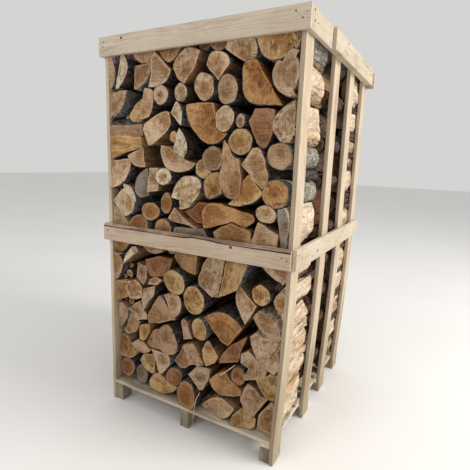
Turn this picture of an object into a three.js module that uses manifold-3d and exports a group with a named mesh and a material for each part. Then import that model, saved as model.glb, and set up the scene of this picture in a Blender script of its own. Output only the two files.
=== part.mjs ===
// Pallet of firewood: a tall slatted crate of sawn softwood that stands on a block pallet,
// filled with three rows of split and round logs that lie front to back.
//
// Millimetres, +Z up. X runs along the front and the front looks along -Y. Everything is drawn
// with the slats' front edges at Y = 0 and then moved back, so that the origin is on the
// ground under the middle of the crate.

import * as THREE from 'three';
import { mergeVertices } from 'three/addons/utils/BufferGeometryUtils.js';
import Module from 'manifold-3d';

const wasm = await Module();
wasm.setup();

// Overall sizes
const CRATE_WIDTH = 1150; // over the outer faces of the slats
const CRATE_DEPTH = 1222; // over the slats, front edge to back edge
const CRATE_HEIGHT = 2150;
const BOARD_THICKNESS = 22;
const BAND_WIDTH = 100;
const FIT_GAP = 0.3; // between pieces that touch

// Slats: four upright boards on each side
const SLAT_WIDTH = 105;
const SLAT_STARTS = [0, 445, 773, CRATE_DEPTH - SLAT_WIDTH];
const OUTER_FACE = CRATE_WIDTH / 2;
const INNER_FACE = OUTER_FACE - BOARD_THICKNESS;
const PALLET_INSET = 34.7; // how far the right slats are drawn in to meet the pallet
const LEAN_POWER = 1.6;
const LEAN_STEPS = 5;

// Bands: boards that go round the crate at the top and half way up
const TOP_BAND_BOTTOM = CRATE_HEIGHT - BAND_WIDTH;
const MID_BAND_BOTTOM = 1039;
const LAP_THICKNESS = 17; // the second board of a side's top band
const LAP_START = 300;
const BACK_BAND_DROP = 18; // the back top board hangs lower than the others
const BACK_BAND_HALF = 624;
const SCARF_TOP = 839; // where the slanting joint of the right middle band meets its edges
const SCARF_BOTTOM = 600;
const SCARF_GAP = 2;
const WANE_DEPTH = 13; // bark edge on the front middle board
const WANE_HEIGHTS = [20, 24, 21, 26, 29, 25, 12, 15, 27, 24, 22, 19];

// Pallet
const DECK_BOTTOM = 108;
const DECK_THICKNESS = 22;
const DECK_TOP = DECK_BOTTOM + DECK_THICKNESS;
const DECK_BOARDS = 7;
const DECK_BOARD_WIDTH = 112;
const STRINGER_THICKNESS = 22;
const BLOCK_HEIGHT = DECK_BOTTOM - STRINGER_THICKNESS;
const BLOCK_WIDTH = 55;
const BLOCK_DEPTH = 78;
const BLOCK_SETBACK = 4;

// Logs
const FRONT_ROW_BACK = 404;
const MIDDLE_ROW = [448, 826];
const BACK_ROW_FRONT = 846;
const TIER_SPLIT = 1069; // the lower and the upper tier meet behind the middle band
const TIER_GAP = 0.6;
const FINE_STEP = 64; // length of one flat along bark
const FINE_CORNER = 100; // area in mm2 that a corner must stand out by
const FINE_GROWTH = 8; // the ends are drawn apart, and the logs press on each other
const COARSE_STEP = 130;
const COARSE_CORNER = 500;
const COARSE_GROWTH = 14;
const CORNER_LIMIT = 0.5; // keeps a sharp corner from growing far out
const MIDDLE_ROW_SCALE = 1.42; // its ends are hidden, and it has fewer and thicker logs
const MIDDLE_ROW_SPLIT = DECK_TOP + (TIER_SPLIT - DECK_TOP) * MIDDLE_ROW_SCALE;
const MIDDLE_ROW_TOP = 2116;
const LEAST_SHARE = 0.09; // of the width, that a middle log keeps inside the right slats
const LEAST_HEIGHT = 80; // that it keeps under the top of the row

// The log ends are drawn as they look from this eye, on a plane a little behind the slats'
// front edges. The real ends stand in a bulging face that is nearest half way up.
const EYE = { x: 1163, y: -1605, z: 1518 };
const DRAWING_PLANE = 25;
const TOP_FACE_DEPTH = 3;
const BOTTOM_FACE_DEPTH = 30;
const FACE_TURN = 1000;

// One log end per line. First comes how far the end is set back. Four more plain numbers are a
// round log: centre x, centre z, half width, half height. Otherwise points follow: a point of
// two numbers ends a flat, split face, and one of four ends a stretch of bark that bends
// through its first pair.
const UPPER_TIER = [
  // Under the top band
  [0, [-574, 1888], [-528, 1965, -552, 2072], [-574, 2074]],
  [0, [-480, 2062], [-462, 2062], [-434, 1985, -497, 1895], [-521, 1891], [-500, 1965]],
  [6, [-405, 2070], [-345, 2012, -256, 2012], [-252, 2098], [-330, 2120, -405, 2070]],
  [4, [-391, 2001], [-268, 2000], [-292, 1925, -368, 1879], [-386, 1884]],
  [0, [-241, 2049], [-149, 1962], [-172, 1915, -222, 1888], [-284, 1885], [-262, 1950], [-262, 2025]],
  [14, [-232, 2066], [-156, 2000, -86, 2062], [-100, 2098], [-215, 2098]],
  [2, [-131, 1980], [-62, 2052, 36, 2034], [8, 1962], [-55, 1891], [-104, 1925, -131, 1980]],
  [16, [74, 2068], [130, 2028, 190, 2062], [178, 2106], [90, 2108]],
  [4, [178, 2030], [228, 2084, 318, 2066], [333, 2005, 296, 1959], [212, 2004]],
  [6, [338, 2072], [368, 1985, 441, 1965], [488, 1985, 520, 2032], [496, 2078], [420, 2112, 338, 2072]],
  [4, [71, 1968], [96, 2016, 146, 2021], [190, 2000, 207, 1965], [136, 1897]],
  [0, 66, 1868, 59, 63],
  [4, 190, 1850, 60, 67],
  [2, [338, 1968], [461, 1771], [392, 1777], [305, 1795, 281, 1880], [288, 1950, 338, 1968]],
  [0, [462, 1944], [478, 1976], [515, 1996, 549, 1968], [549, 1850], [530, 1800, 486, 1802],
    [428, 1862, 421, 1925], [438, 1955, 462, 1944]],
  // Second course
  [0, [-574, 1872], [-394, 1880], [-455, 1785, -574, 1736]],
  [24, [-341, 1842], [-405, 1800, -439, 1745], [-415, 1716, -354, 1718]],
  [2, [-318, 1884], [-262, 1868, -258, 1826], [-285, 1745, -356, 1726], [-336, 1812]],
  [2, -209, 1844, 44, 48],
  [4, -77, 1849, 42, 43],
  [4, [-108, 1806], [-72, 1765, -79, 1689], [-150, 1755]],
  [2, [-37, 1786], [40, 1794], [116, 1790], [134, 1738], [137, 1690], [158, 1658], [197, 1646],
    [110, 1598, 22, 1650], [-24, 1712, -37, 1786]],
  [0, 184, 1717, 49, 61],
  [6, 266, 1706, 24, 31],
  [4, [345, 1757], [439, 1752], [430, 1642], [402, 1584, 362, 1604], [315, 1702]],
  [0, [523, 1798], [528, 1730], [545, 1642], [503, 1607, 460, 1638], [440, 1712, 523, 1798]],
  // Third course
  [0, [-327, 1675], [-318, 1700], [-225, 1750], [-170, 1762, -154, 1738], [-147, 1695, -176, 1655],
    [-265, 1595], [-290, 1588, -300, 1610]],
  [20, -133, 1634, 29, 30],
  [0, [-89, 1676], [-38, 1600, -50, 1529], [-119, 1568], [-104, 1632]],
  [2, [-183, 1588], [-136, 1575], [-50, 1516], [3, 1499], [-52, 1460, -125, 1456], [-176, 1495, -183, 1588]],
  [4, [-440, 1530], [-345, 1577], [-316, 1472], [-388, 1480, -440, 1530]],
  [2, 118, 1528, 60, 58],
  [22, [15, 1500], [50, 1523, 74, 1500], [100, 1462], [55, 1430, 12, 1448]],
  [12, [150, 1463], [86, 1443, 66, 1385], [96, 1330, 166, 1362], [158, 1405]],
  [2, [190, 1615], [214, 1590], [236, 1548, 272, 1530], [282, 1450], [276, 1368], [215, 1338, 166, 1388],
    [150, 1432, 172, 1488], [179, 1570]],
  [0, 273, 1611, 60, 60],
  [2, [351, 1581], [392, 1572, 419, 1490], [422, 1430, 391, 1394], [283, 1505]],
  [10, [345, 1432], [318, 1458], [281, 1424], [270, 1360], [212, 1311], [318, 1316, 397, 1374]],
  [2, 475, 1548, 60, 59],
  [0, 463, 1376, 63, 64],
  // Fourth course
  [0, [-574, 1498], [-430, 1514], [-452, 1398, -574, 1341]],
  [6, [-302, 1466], [-378, 1410, -397, 1330], [-365, 1303, -302, 1318]],
  [8, [-300, 1466], [-239, 1467], [-227, 1352], [-298, 1336]],
  [2, -188, 1427, 47, 44],
  [4, [-131, 1322], [-82, 1418, 2, 1434], [42, 1408, 36, 1350], [-20, 1278], [-73, 1261], [-79, 1312]],
  [0, 423, 1281, 53, 42],
  [2, [485, 1309], [549, 1326], [549, 1128], [503, 1126]],
  [4, [-562, 1268], [-515, 1318], [-480, 1345], [-480, 1372], [-425, 1354], [-396, 1300, -407, 1258],
    [-435, 1205, -495, 1184]],
  [4, [-574, 1240], [-552, 1238], [-478, 1180], [-450, 1142], [-452, 1090], [-574, 1090]],
  [10, -290, 1228, 62, 51],
  [14, -177, 1284, 38, 57],
  [4, [-163, 1201], [-121, 1265], [-60, 1214], [33, 1170], [-52, 1185], [-140, 1191]],
  [34, [-62, 1250], [-15, 1268], [20, 1300], [86, 1300], [88, 1194], [10, 1194]],
  // Just above the middle band
  [8, -379, 1136, 73, 62],
  [10, -203, 1136, 66, 62],
  [8, [-110, 1115], [-94, 1163], [64, 1166], [92, 1120], [-10, 1062, -110, 1115]],
  [6, [93, 1182], [86, 1285, 165, 1309], [340, 1262], [345, 1232, 302, 1203], [238, 1228], [178, 1207]],
  [8, [133, 1160], [180, 1194], [238, 1215], [342, 1188], [348, 1110], [300, 1068], [165, 1080]],
  [4, [355, 1095], [352, 1140], [386, 1240], [492, 1187], [478, 1095]],
];

const LOWER_TIER = [
  // Under the middle band
  [6, [-574, 985], [-520, 962, -457, 1012], [-458, 1062], [-574, 1066]],
  [0, [-440, 1002], [-406, 1014], [-388, 984], [-480, 899], [-472, 955, -440, 1002]],
  [14, [-374, 1016], [-285, 985, -192, 1010], [-200, 1062], [-362, 1066]],
  [4, [-312, 953], [-262, 968], [-222, 984], [-138, 975], [-150, 912], [-186, 868], [-272, 857],
    [-298, 893, -312, 953]],
  [2, [-391, 918], [-303, 908], [-303, 838], [-322, 797], [-386, 832]],
  [4, [-316, 793], [-297, 835], [-246, 859], [-198, 845], [-240, 808]],
  [0, [-574, 958], [-512, 954], [-486, 895, -528, 816], [-548, 790, -574, 784]],
  [0, -110, 851, 79, 75],
  [10, [-132, 990], [-82, 945, -22, 925], [42, 922], [46, 1014], [40, 1062], [-112, 1060]],
  [0, [205, 1018], [197, 935], [179, 826], [138, 820], [86, 850], [48, 882, 60, 945], [74, 992, 98, 1020],
    [108, 1064], [202, 1064]],
  [2, [213, 1014], [203, 945], [187, 827], [256, 864], [292, 886], [314, 940, 334, 1014], [330, 1064],
    [222, 1066]],
  [2, [300, 906], [277, 830, 342, 712], [399, 820], [352, 856]],
  [0, 418, 884, 55, 59],
  [10, [410, 1014], [466, 952, 548, 926], [548, 1062], [430, 1064]],
  [16, [479, 858], [500, 905], [546, 918], [546, 808], [502, 815, 479, 858]],
  [0, 22, 773, 73, 84],
  // Second course
  [4, [-574, 776], [-479, 797], [-475, 740], [-457, 693], [-530, 662], [-574, 652]],
  [2, [-468, 794], [-400, 813], [-366, 797], [-350, 766], [-353, 705], [-400, 690], [-448, 690], [-470, 735]],
  [4, [-345, 768], [-320, 778], [-262, 796], [-258, 745, -292, 700], [-320, 648], [-346, 692]],
  [2, [-198, 754], [-165, 773], [-90, 778, -59, 735], [-62, 688, -103, 640], [-152, 688]],
  [2, [-250, 724], [-228, 744, -200, 728], [-99, 632], [-205, 589], [-288, 567], [-308, 600, -298, 635]],
  [8, [-540, 640], [-502, 642], [-467, 600], [-484, 535, -566, 455], [-562, 520]],
  [4, [-468, 614], [-402, 668], [-360, 694], [-344, 650], [-308, 618], [-312, 583], [-396, 557],
    [-432, 590]],
  [8, [-463, 590], [-432, 578], [-375, 549], [-391, 490], [-440, 462], [-482, 462, -478, 512]],
  [4, [-386, 515], [-362, 538], [-288, 560], [-290, 508], [-320, 455], [-346, 438], [-376, 440]],
  [0, [-320, 437], [-284, 512], [-262, 531], [-238, 535], [-165, 582, -95, 520], [-72, 465, -95, 428],
    [-150, 406], [-215, 424], [-290, 415]],
  [4, [-67, 632], [-42, 656, -18, 645], [-3, 580], [16, 545], [-58, 517]],
  [0, 60, 615, 57, 66],
  [0, [73, 682], [205, 744, 335, 694], [253, 578], [205, 589]],
  [0, [378, 755], [425, 806, 500, 765], [541, 716], [541, 676], [455, 670, 378, 755]],
  [0, [367, 655], [400, 672], [533, 662], [543, 494], [500, 497], [414, 540, 367, 655]],
  // Third course
  [16, [184, 446], [300, 487], [318, 560], [346, 642], [253, 572], [224, 540], [187, 475]],
  [4, [76, 498], [106, 556, 147, 526], [181, 482], [164, 446], [112, 412], [89, 450]],
  [2, [-48, 496], [28, 530], [76, 470], [100, 420], [62, 399], [30, 401], [-6, 378], [-62, 342, -122, 372],
    [-74, 440]],
  [12, 303, 408, 44, 53],
  [4, [322, 500], [327, 550], [362, 580], [400, 548], [466, 495], [460, 455], [402, 425], [352, 407],
    [345, 430], [368, 480]],
  [6, [406, 430], [460, 452], [482, 478], [530, 478], [530, 354], [470, 352, 406, 430]],
  [6, [118, 328], [160, 372], [216, 408], [258, 374], [334, 346], [336, 318], [228, 278, 150, 293]],
  [2, [365, 396], [410, 380], [442, 345], [490, 352], [403, 206], [354, 244], [326, 300, 365, 396]],
  [4, [50, 396], [130, 394], [126, 345], [93, 262], [70, 254], [-5, 332]],
  [2, [-447, 395], [-388, 437], [-345, 430], [-286, 390], [-312, 368], [-378, 354, -447, 395]],
  [12, [-562, 420], [-482, 428], [-448, 392], [-386, 352], [-402, 325], [-450, 298], [-562, 288]],
  [0, [-276, 411], [-155, 402], [-138, 355, -166, 308], [-200, 266], [-222, 262], [-250, 355]],
  [2, [-372, 308], [-346, 352, -300, 364], [-259, 369], [-246, 262], [-270, 253], [-330, 268, -372, 308]],
  // On the deck
  [18, -488, 219, 57, 62],
  [12, -363, 212, 48, 64],
  [6, [-225, 262], [-165, 228], [-82, 212], [-165, 146, -262, 137], [-302, 158, -292, 214],
    [-262, 252, -225, 262]],
  [8, -117, 271, 52, 54],
  [-22, -8, 199, 70, 91],
  [4, [60, 146], [130, 217], [188, 257], [228, 266], [310, 240], [238, 142, 140, 130], [96, 128, 60, 146]],
  [4, [342, 246], [400, 208], [418, 196], [412, 148, 350, 124], [286, 140, 288, 190]],
  [10, [503, 330], [519, 310], [518, 156], [430, 158], [434, 235]],
];

// Split logs that lie across the crate at the front left, seen from their side as they are
// drawn, and the front and back of each of the three that lie behind each other
const CROSSWISE_LOGS = {
  upper: [[-574, 1640], [-345, 1640], [-345, 1696], [-574, 1700]],
  lower: [[-574, 1520], [-470, 1528], [-375, 1594], [-345, 1635], [-574, 1635]],
};
const CROSSWISE_DEPTHS = [[4, 128], [132, 262], [266, 388]];

// Small round logs that fill the same place in the middle and back rows
const CORNER_LOGS = [
  [0, -508, 1641, 64, 60],
  [4, -392, 1655, 50, 48],
  [2, -455, 1565, 31, 31],
  [0, -535, 1545, 32, 32],
];

// Two long splinters of pale wood: points x, y, z along the middle
const SPLINTER_WIDTH = 5;
const SPLINTER_THICKNESS = 3;
const SPLINTERS = {
  splinter_low: [[91, -2, 262], [66, -3, 205], [58, -4, 150], [46, -5, 30]],
  splinter_high: [[206, 14, 392], [262, 8, 448], [306, 2, 492]],
};

// Finishes
const FINISHES = {
  sawn: { color: 0xd9c7a0, roughness: 0.8, metalness: 0 },
  weathered: { color: 0xa39a88, roughness: 0.9, metalness: 0 },
  log: { color: 0xb08a5e, roughness: 0.9, metalness: 0 },
  splinter: { color: 0xe2cfa4, roughness: 0.8, metalness: 0 },
};

const pallet = new THREE.Group();
pallet.position.y = -CRATE_DEPTH / 2;

function addPiece(name, geometry, finish) {
  const mesh = new THREE.Mesh(geometry, new THREE.MeshStandardMaterial(FINISHES[finish]));
  mesh.name = name;
  pallet.add(mesh);
}

// A plain board between two corners
function board(low, high) {
  const size = high.map((value, axis) => value - low[axis]);
  const geometry = new THREE.BoxGeometry(...size);
  return geometry.translate(...low.map((value, axis) => value + size[axis] / 2));
}

// A flat outline of [x, z] points, extruded from front to back
function upright(outline, front, back) {
  const shape = new THREE.Shape(outline.map(([x, z]) => new THREE.Vector2(x, z)));
  const geometry = new THREE.ExtrudeGeometry(shape, { depth: back - front, bevelEnabled: false });
  return geometry.rotateX(Math.PI / 2).translate(0, back, 0);
}

// How far the right slats stand inside their upright line at a height: they bend in a few
// straight lengths from the middle band down to the pallet
function lean(z) {
  const share = (MID_BAND_BOTTOM - z) / (MID_BAND_BOTTOM - DECK_TOP);
  const place = Math.min(1, Math.max(0, share)) * LEAN_STEPS;
  const step = Math.floor(place);
  const inset = (steps) => PALLET_INSET * (steps / LEAN_STEPS) ** LEAN_POWER;
  return inset(step) + (place - step) * (inset(step + 1) - inset(step));
}

function slatLine(face, side) {
  if (side < 0) return [[-face, 0], [-face, CRATE_HEIGHT]];
  const bends = Array.from({ length: LEAN_STEPS + 1 }, (_, step) => (
    DECK_TOP + ((MID_BAND_BOTTOM - DECK_TOP) * step) / LEAN_STEPS
  ));
  return [0, ...bends, CRATE_HEIGHT].map((z) => [face - lean(z), z]);
}

function addSlats() {
  for (const [side, label] of [[-1, 'left'], [1, 'right']]) {
    const inner = slatLine(INNER_FACE, side);
    const outer = slatLine(OUTER_FACE, side).reverse();
    SLAT_STARTS.forEach((start, index) => {
      const geometry = upright([...inner, ...outer], start, start + SLAT_WIDTH);
      addPiece(`slat_${label}_${index + 1}`, geometry, 'sawn');
    });
  }
}

function addTopBand() {
  const low = TOP_BAND_BOTTOM;
  const high = CRATE_HEIGHT;
  const sideFace = OUTER_FACE + BOARD_THICKNESS;
  const lapFace = sideFace + FIT_GAP + LAP_THICKNESS;
  addPiece('top_band_front', board([-sideFace, -BOARD_THICKNESS, low], [sideFace, -FIT_GAP, high]), 'sawn');
  addPiece('top_band_back', board(
    [-BACK_BAND_HALF, CRATE_DEPTH + FIT_GAP, low - BACK_BAND_DROP],
    [BACK_BAND_HALF, CRATE_DEPTH + BOARD_THICKNESS, high - BACK_BAND_DROP],
  ), 'sawn');
  for (const [side, label] of [[-1, 'left'], [1, 'right']]) {
    const across = (from, to) => [side * from, side * to].sort((a, b) => a - b);
    const [inLow, inHigh] = across(OUTER_FACE + FIT_GAP, sideFace);
    const [lapLow, lapHigh] = across(sideFace + FIT_GAP, lapFace);
    addPiece(`top_band_${label}`, board([inLow, 0, low], [inHigh, CRATE_DEPTH, high]), 'sawn');
    addPiece(
      `top_band_${label}_lap`,
      board([lapLow, LAP_START, low], [lapHigh, CRATE_DEPTH, high]),
      'sawn',
    );
  }
}

// The front middle board keeps a strip of bark along its top edge, which slopes back
function wanyBoard(left, right, low, high) {
  const last = WANE_HEIGHTS.length - 1;
  const sections = WANE_HEIGHTS.map((wane, index) => {
    const x = left + ((right - left) * index) / last;
    const shoulder = high - wane;
    return [
      [x, -BOARD_THICKNESS, low],
      [x, -BOARD_THICKNESS, shoulder],
      [x, -BOARD_THICKNESS + WANE_DEPTH, high],
      [x, -FIT_GAP, high],
      [x, -FIT_GAP, low],
    ];
  });
  const sides = sections[0].length;
  const triangles = [];
  for (let section = 0; section < last; section += 1) {
    for (let side = 0; side < sides; side += 1) {
      const next = (side + 1) % sides;
      const a = section * sides + side;
      const b = section * sides + next;
      triangles.push(a, a + sides, b, b, a + sides, b + sides);
    }
  }
  const end = last * sides;
  for (let side = 1; side < sides - 1; side += 1) {
    triangles.push(0, side, side + 1, end, end + side + 1, end + side);
  }
  const geometry = new THREE.BufferGeometry();
  geometry.setAttribute('position', new THREE.Float32BufferAttribute(sections.flat(2), 3));
  geometry.setIndex(triangles);
  return geometry;
}

// A board on the right face between two places, whose ends may slant: the first pair is where
// its ends are at the bottom edge, and the second where they are at the top edge
function slantedBoard([bottomStart, bottomEnd], [topStart, topEnd], face, low, high) {
  const shape = new THREE.Shape([
    new THREE.Vector2(bottomStart, low),
    new THREE.Vector2(bottomEnd, low),
    new THREE.Vector2(topEnd, high),
    new THREE.Vector2(topStart, high),
  ]);
  const depth = BOARD_THICKNESS - FIT_GAP;
  const geometry = new THREE.ExtrudeGeometry(shape, { depth, bevelEnabled: false });
  return geometry.rotateX(Math.PI / 2).rotateZ(Math.PI / 2).translate(face, 0, 0);
}

function addMiddleBand() {
  const low = MID_BAND_BOTTOM;
  const high = low + BAND_WIDTH;
  const sideFace = OUTER_FACE + BOARD_THICKNESS;
  const face = OUTER_FACE + FIT_GAP;
  addPiece('middle_band_front', wanyBoard(-sideFace, OUTER_FACE, low, high), 'sawn');
  addPiece('middle_band_back', board(
    [-sideFace, CRATE_DEPTH + FIT_GAP, low],
    [sideFace, CRATE_DEPTH + BOARD_THICKNESS, high],
  ), 'sawn');
  addPiece('middle_band_left', board([-sideFace, 0, low], [-face, CRATE_DEPTH, high]), 'sawn');
  addPiece('middle_band_right_front', slantedBoard([0, SCARF_BOTTOM], [0, SCARF_TOP], face, low, high), 'sawn');
  addPiece('middle_band_right_back', slantedBoard(
    [SCARF_BOTTOM + SCARF_GAP, CRATE_DEPTH],
    [SCARF_TOP + SCARF_GAP, CRATE_DEPTH],
    face,
    low,
    high,
  ), 'sawn');
}

function addPallet() {
  const left = -INNER_FACE + FIT_GAP;
  const right = INNER_FACE - lean(0) - FIT_GAP;
  const middle = (left + right) / 2 - BLOCK_WIDTH / 2;
  const lines = { left, middle, right: right - BLOCK_WIDTH };
  const blockRows = {
    front: BLOCK_SETBACK,
    middle: (CRATE_DEPTH - BLOCK_DEPTH) / 2,
    back: CRATE_DEPTH - BLOCK_DEPTH - BLOCK_SETBACK,
  };
  for (const [line, x] of Object.entries(lines)) {
    for (const [row, y] of Object.entries(blockRows)) {
      const low = [x, y, 0];
      const high = [x + BLOCK_WIDTH, y + BLOCK_DEPTH, BLOCK_HEIGHT - FIT_GAP];
      addPiece(`block_${row}_${line}`, board(low, high), 'weathered');
    }
    const low = [x, BLOCK_SETBACK, BLOCK_HEIGHT];
    const high = [x + BLOCK_WIDTH, CRATE_DEPTH - BLOCK_SETBACK, DECK_BOTTOM - FIT_GAP];
    addPiece(`stringer_${line}`, board(low, high), 'weathered');
  }
  const pitch = (CRATE_DEPTH - DECK_BOARD_WIDTH) / (DECK_BOARDS - 1);
  for (let index = 0; index < DECK_BOARDS; index += 1) {
    const y = index * pitch;
    const high = [right, y + DECK_BOARD_WIDTH, DECK_TOP];
    addPiece(`deck_board_${index + 1}`, board([left, y, DECK_BOTTOM], high), 'weathered');
  }
}

// How deep the face of the stack stands at a height, behind the slats' front edges
function faceDepth(z) {
  const share = Math.max(0, (FACE_TURN - z) / (FACE_TURN - DECK_TOP));
  return TOP_FACE_DEPTH + (BOTTOM_FACE_DEPTH - TOP_FACE_DEPTH) * Math.min(1, share);
}

// From the place where a point is drawn to its real place in the face of the stack
function realPlace([x, z]) {
  const scale = (faceDepth(z) - EYE.y) / (DRAWING_PLANE - EYE.y);
  return [EYE.x + (x - EYE.x) * scale, EYE.z + (z - EYE.z) * scale];
}

// Points along a bend from one point through a second to a third, without the first
function bend(from, [throughX, throughZ, toX, toZ], step) {
  const controlX = 2 * throughX - (from[0] + toX) / 2;
  const controlZ = 2 * throughZ - (from[1] + toZ) / 2;
  const length = Math.hypot(throughX - from[0], throughZ - from[1])
    + Math.hypot(toX - throughX, toZ - throughZ);
  const count = Math.max(1, Math.round(length / step));
  const points = [];
  for (let index = 1; index <= count; index += 1) {
    const t = index / count;
    const a = (1 - t) ** 2;
    const b = 2 * t * (1 - t);
    const c = t ** 2;
    points.push([a * from[0] + b * controlX + c * toX, a * from[1] + b * controlZ + c * toZ]);
  }
  return points;
}

function drawnOutline(log, step) {
  if (typeof log[1] === 'number') {
    const [, x, z, halfWidth, halfHeight] = log;
    const count = Math.max(6, Math.round((Math.PI * (halfWidth + halfHeight)) / step));
    const fullness = (1 + 1 / Math.cos(Math.PI / count)) / 2; // corners outside, flats inside
    return Array.from({ length: count }, (_, index) => {
      const angle = (2 * Math.PI * (index + 0.5)) / count;
      return [x + halfWidth * fullness * Math.cos(angle), z + halfHeight * fullness * Math.sin(angle)];
    });
  }
  const points = [log[1]];
  for (const part of log.slice(2)) {
    const from = points[points.length - 1];
    points.push(...(part.length === 2 ? [part] : bend(from, part, step)));
  }
  const [first, last] = [points[0], points[points.length - 1]];
  if (Math.hypot(first[0] - last[0], first[1] - last[1]) < 1) points.pop();
  return points;
}

// Pushes the sides of an outline outwards, and returns it anticlockwise
function grown(points, growth) {
  const corners = points.map(([x, z]) => new THREE.Vector2(x, z));
  if (THREE.ShapeUtils.isClockWise(corners)) corners.reverse();
  const normals = corners.map((corner, index) => {
    const along = corners[(index + 1) % corners.length].clone().sub(corner).normalize();
    return new THREE.Vector2(along.y, -along.x);
  });
  return corners.map((corner, index) => {
    const before = normals[(index + normals.length - 1) % normals.length];
    const reach = growth / Math.max(CORNER_LIMIT, 1 + before.dot(normals[index]));
    const moved = before.clone().add(normals[index]).multiplyScalar(reach).add(corner);
    return [moved.x, moved.y];
  });
}

// Drops the corners that hardly change an outline, the least of them first
function thinned(points, smallest) {
  const kept = [...points];
  while (kept.length > 4) {
    const areas = kept.map(([x, z], index) => {
      const [ax, az] = kept.at(index - 1);
      const [bx, bz] = kept[(index + 1) % kept.length];
      return Math.abs((ax - x) * (bz - z) - (bx - x) * (az - z)) / 2;
    });
    const least = Math.min(...areas);
    if (least > smallest) break;
    kept.splice(areas.indexOf(least), 1);
  }
  return kept;
}

// Where a point of the front face falls in a row, as a share of the width and a height
function sharePlace([x, z], row) {
  const left = -INNER_FACE + FIT_GAP;
  const right = INNER_FACE - lean(z) - FIT_GAP;
  const share = ((x - left) / (right - left)) * row.scale;
  return [row.turned ? 1 - share : share, row.base + (z - row.from) * row.scale];
}

// Fits such a point between the slats and between the floor and the top of its tier
function placed([share, height], row) {
  const left = -INNER_FACE + FIT_GAP;
  const right = INNER_FACE - lean(height) - FIT_GAP;
  const across = Math.min(1, Math.max(0, share));
  return [left + across * (right - left), Math.min(row.high, Math.max(row.low, height))];
}

// The row of thicker logs leaves out those of which too little is inside the crate
function hasRoom(points, row) {
  if (row.scale === 1) return true;
  const start = Math.min(...points.map((point) => point[0]));
  const bottom = Math.min(...points.map((point) => point[1]));
  return start < 1 - LEAST_SHARE && bottom < row.high - LEAST_HEIGHT;
}

// The manifold library reads one shared list of vertices
function solid(geometry) {
  geometry.deleteAttribute('normal');
  geometry.deleteAttribute('uv');
  const merged = mergeVertices(geometry, 1e-3);
  return new wasm.Manifold(new wasm.Mesh({
    numProp: 3,
    vertProperties: new Float32Array(merged.attributes.position.array),
    triVerts: new Uint32Array(merged.index.array),
  }));
}

function fromSolid(body) {
  const { vertProperties, triVerts } = body.getMesh();
  const geometry = new THREE.BufferGeometry();
  geometry.setAttribute('position', new THREE.BufferAttribute(vertProperties, 3));
  geometry.setIndex(new THREE.BufferAttribute(triVerts, 1));
  return geometry;
}

// Front and back of one log: only the ends that can be seen stand at different depths
function logEnds(setback, height, row) {
  if (row.place === 'front') return [faceDepth(height) + setback, FRONT_ROW_BACK];
  if (row.place === 'middle') return MIDDLE_ROW;
  return [BACK_ROW_FRONT, Math.min(CRATE_DEPTH, CRATE_DEPTH - TOP_FACE_DEPTH - setback)];
}

// One tier of a row: logs side by side and on top of each other, grown together where they touch
function stack(logs, row) {
  const bodies = [];
  for (const log of logs) {
    const real = drawnOutline(log, row.step).map(realPlace);
    const shares = grown(real, row.growth).map((point) => sharePlace(point, row));
    if (!hasRoom(shares, row)) continue;
    const outline = thinned(shares.map((point) => placed(point, row)), row.corner);
    const height = outline.reduce((sum, point) => sum + point[1], 0) / outline.length;
    bodies.push(solid(upright(outline, ...logEnds(log[0], height, row))));
  }
  return fromSolid(bodies.reduce((whole, body) => whole.add(body)));
}

function addStacks() {
  const same = { scale: 1, from: 0, base: 0 };
  const fine = { step: FINE_STEP, corner: FINE_CORNER, growth: FINE_GROWTH, turned: false };
  const coarse = { step: COARSE_STEP, corner: COARSE_CORNER, growth: COARSE_GROWTH };
  const front = { ...fine, ...same, place: 'front' };
  const middle = { ...coarse, scale: MIDDLE_ROW_SCALE, turned: false, place: 'middle' };
  const back = { ...coarse, ...same, turned: true, place: 'back' };
  const floor = DECK_TOP + FIT_GAP;
  const lower = { low: floor, high: TIER_SPLIT };
  const upper = { low: TIER_SPLIT + TIER_GAP, high: CRATE_HEIGHT };
  const below = { low: floor, high: MIDDLE_ROW_SPLIT, from: DECK_TOP, base: DECK_TOP };
  const above = {
    low: MIDDLE_ROW_SPLIT + TIER_GAP,
    high: MIDDLE_ROW_TOP,
    from: TIER_SPLIT,
    base: MIDDLE_ROW_SPLIT,
  };
  const rows = {
    front_lower: [LOWER_TIER, { ...front, ...lower }],
    front_upper: [UPPER_TIER, { ...front, ...upper }],
    middle_lower: [LOWER_TIER, { ...middle, ...below }],
    middle_upper: [UPPER_TIER, { ...middle, ...above }],
    back_lower: [LOWER_TIER, { ...back, ...lower }],
    back_upper: [[...UPPER_TIER, ...CORNER_LOGS], { ...back, ...upper }],
  };
  for (const [name, [logs, row]] of Object.entries(rows)) addPiece(`logs_${name}`, stack(logs, row), 'log');
}

function addCrosswiseLogs() {
  const wall = -INNER_FACE + FIT_GAP;
  for (const [level, drawn] of Object.entries(CROSSWISE_LOGS)) {
    const outline = drawn.map(realPlace).map(([x, z]) => [Math.max(x, wall), z]);
    CROSSWISE_DEPTHS.forEach(([front, back], index) => {
      addPiece(`crosswise_log_${level}_${index + 1}`, upright(outline, front, back), 'log');
    });
  }
}

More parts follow.
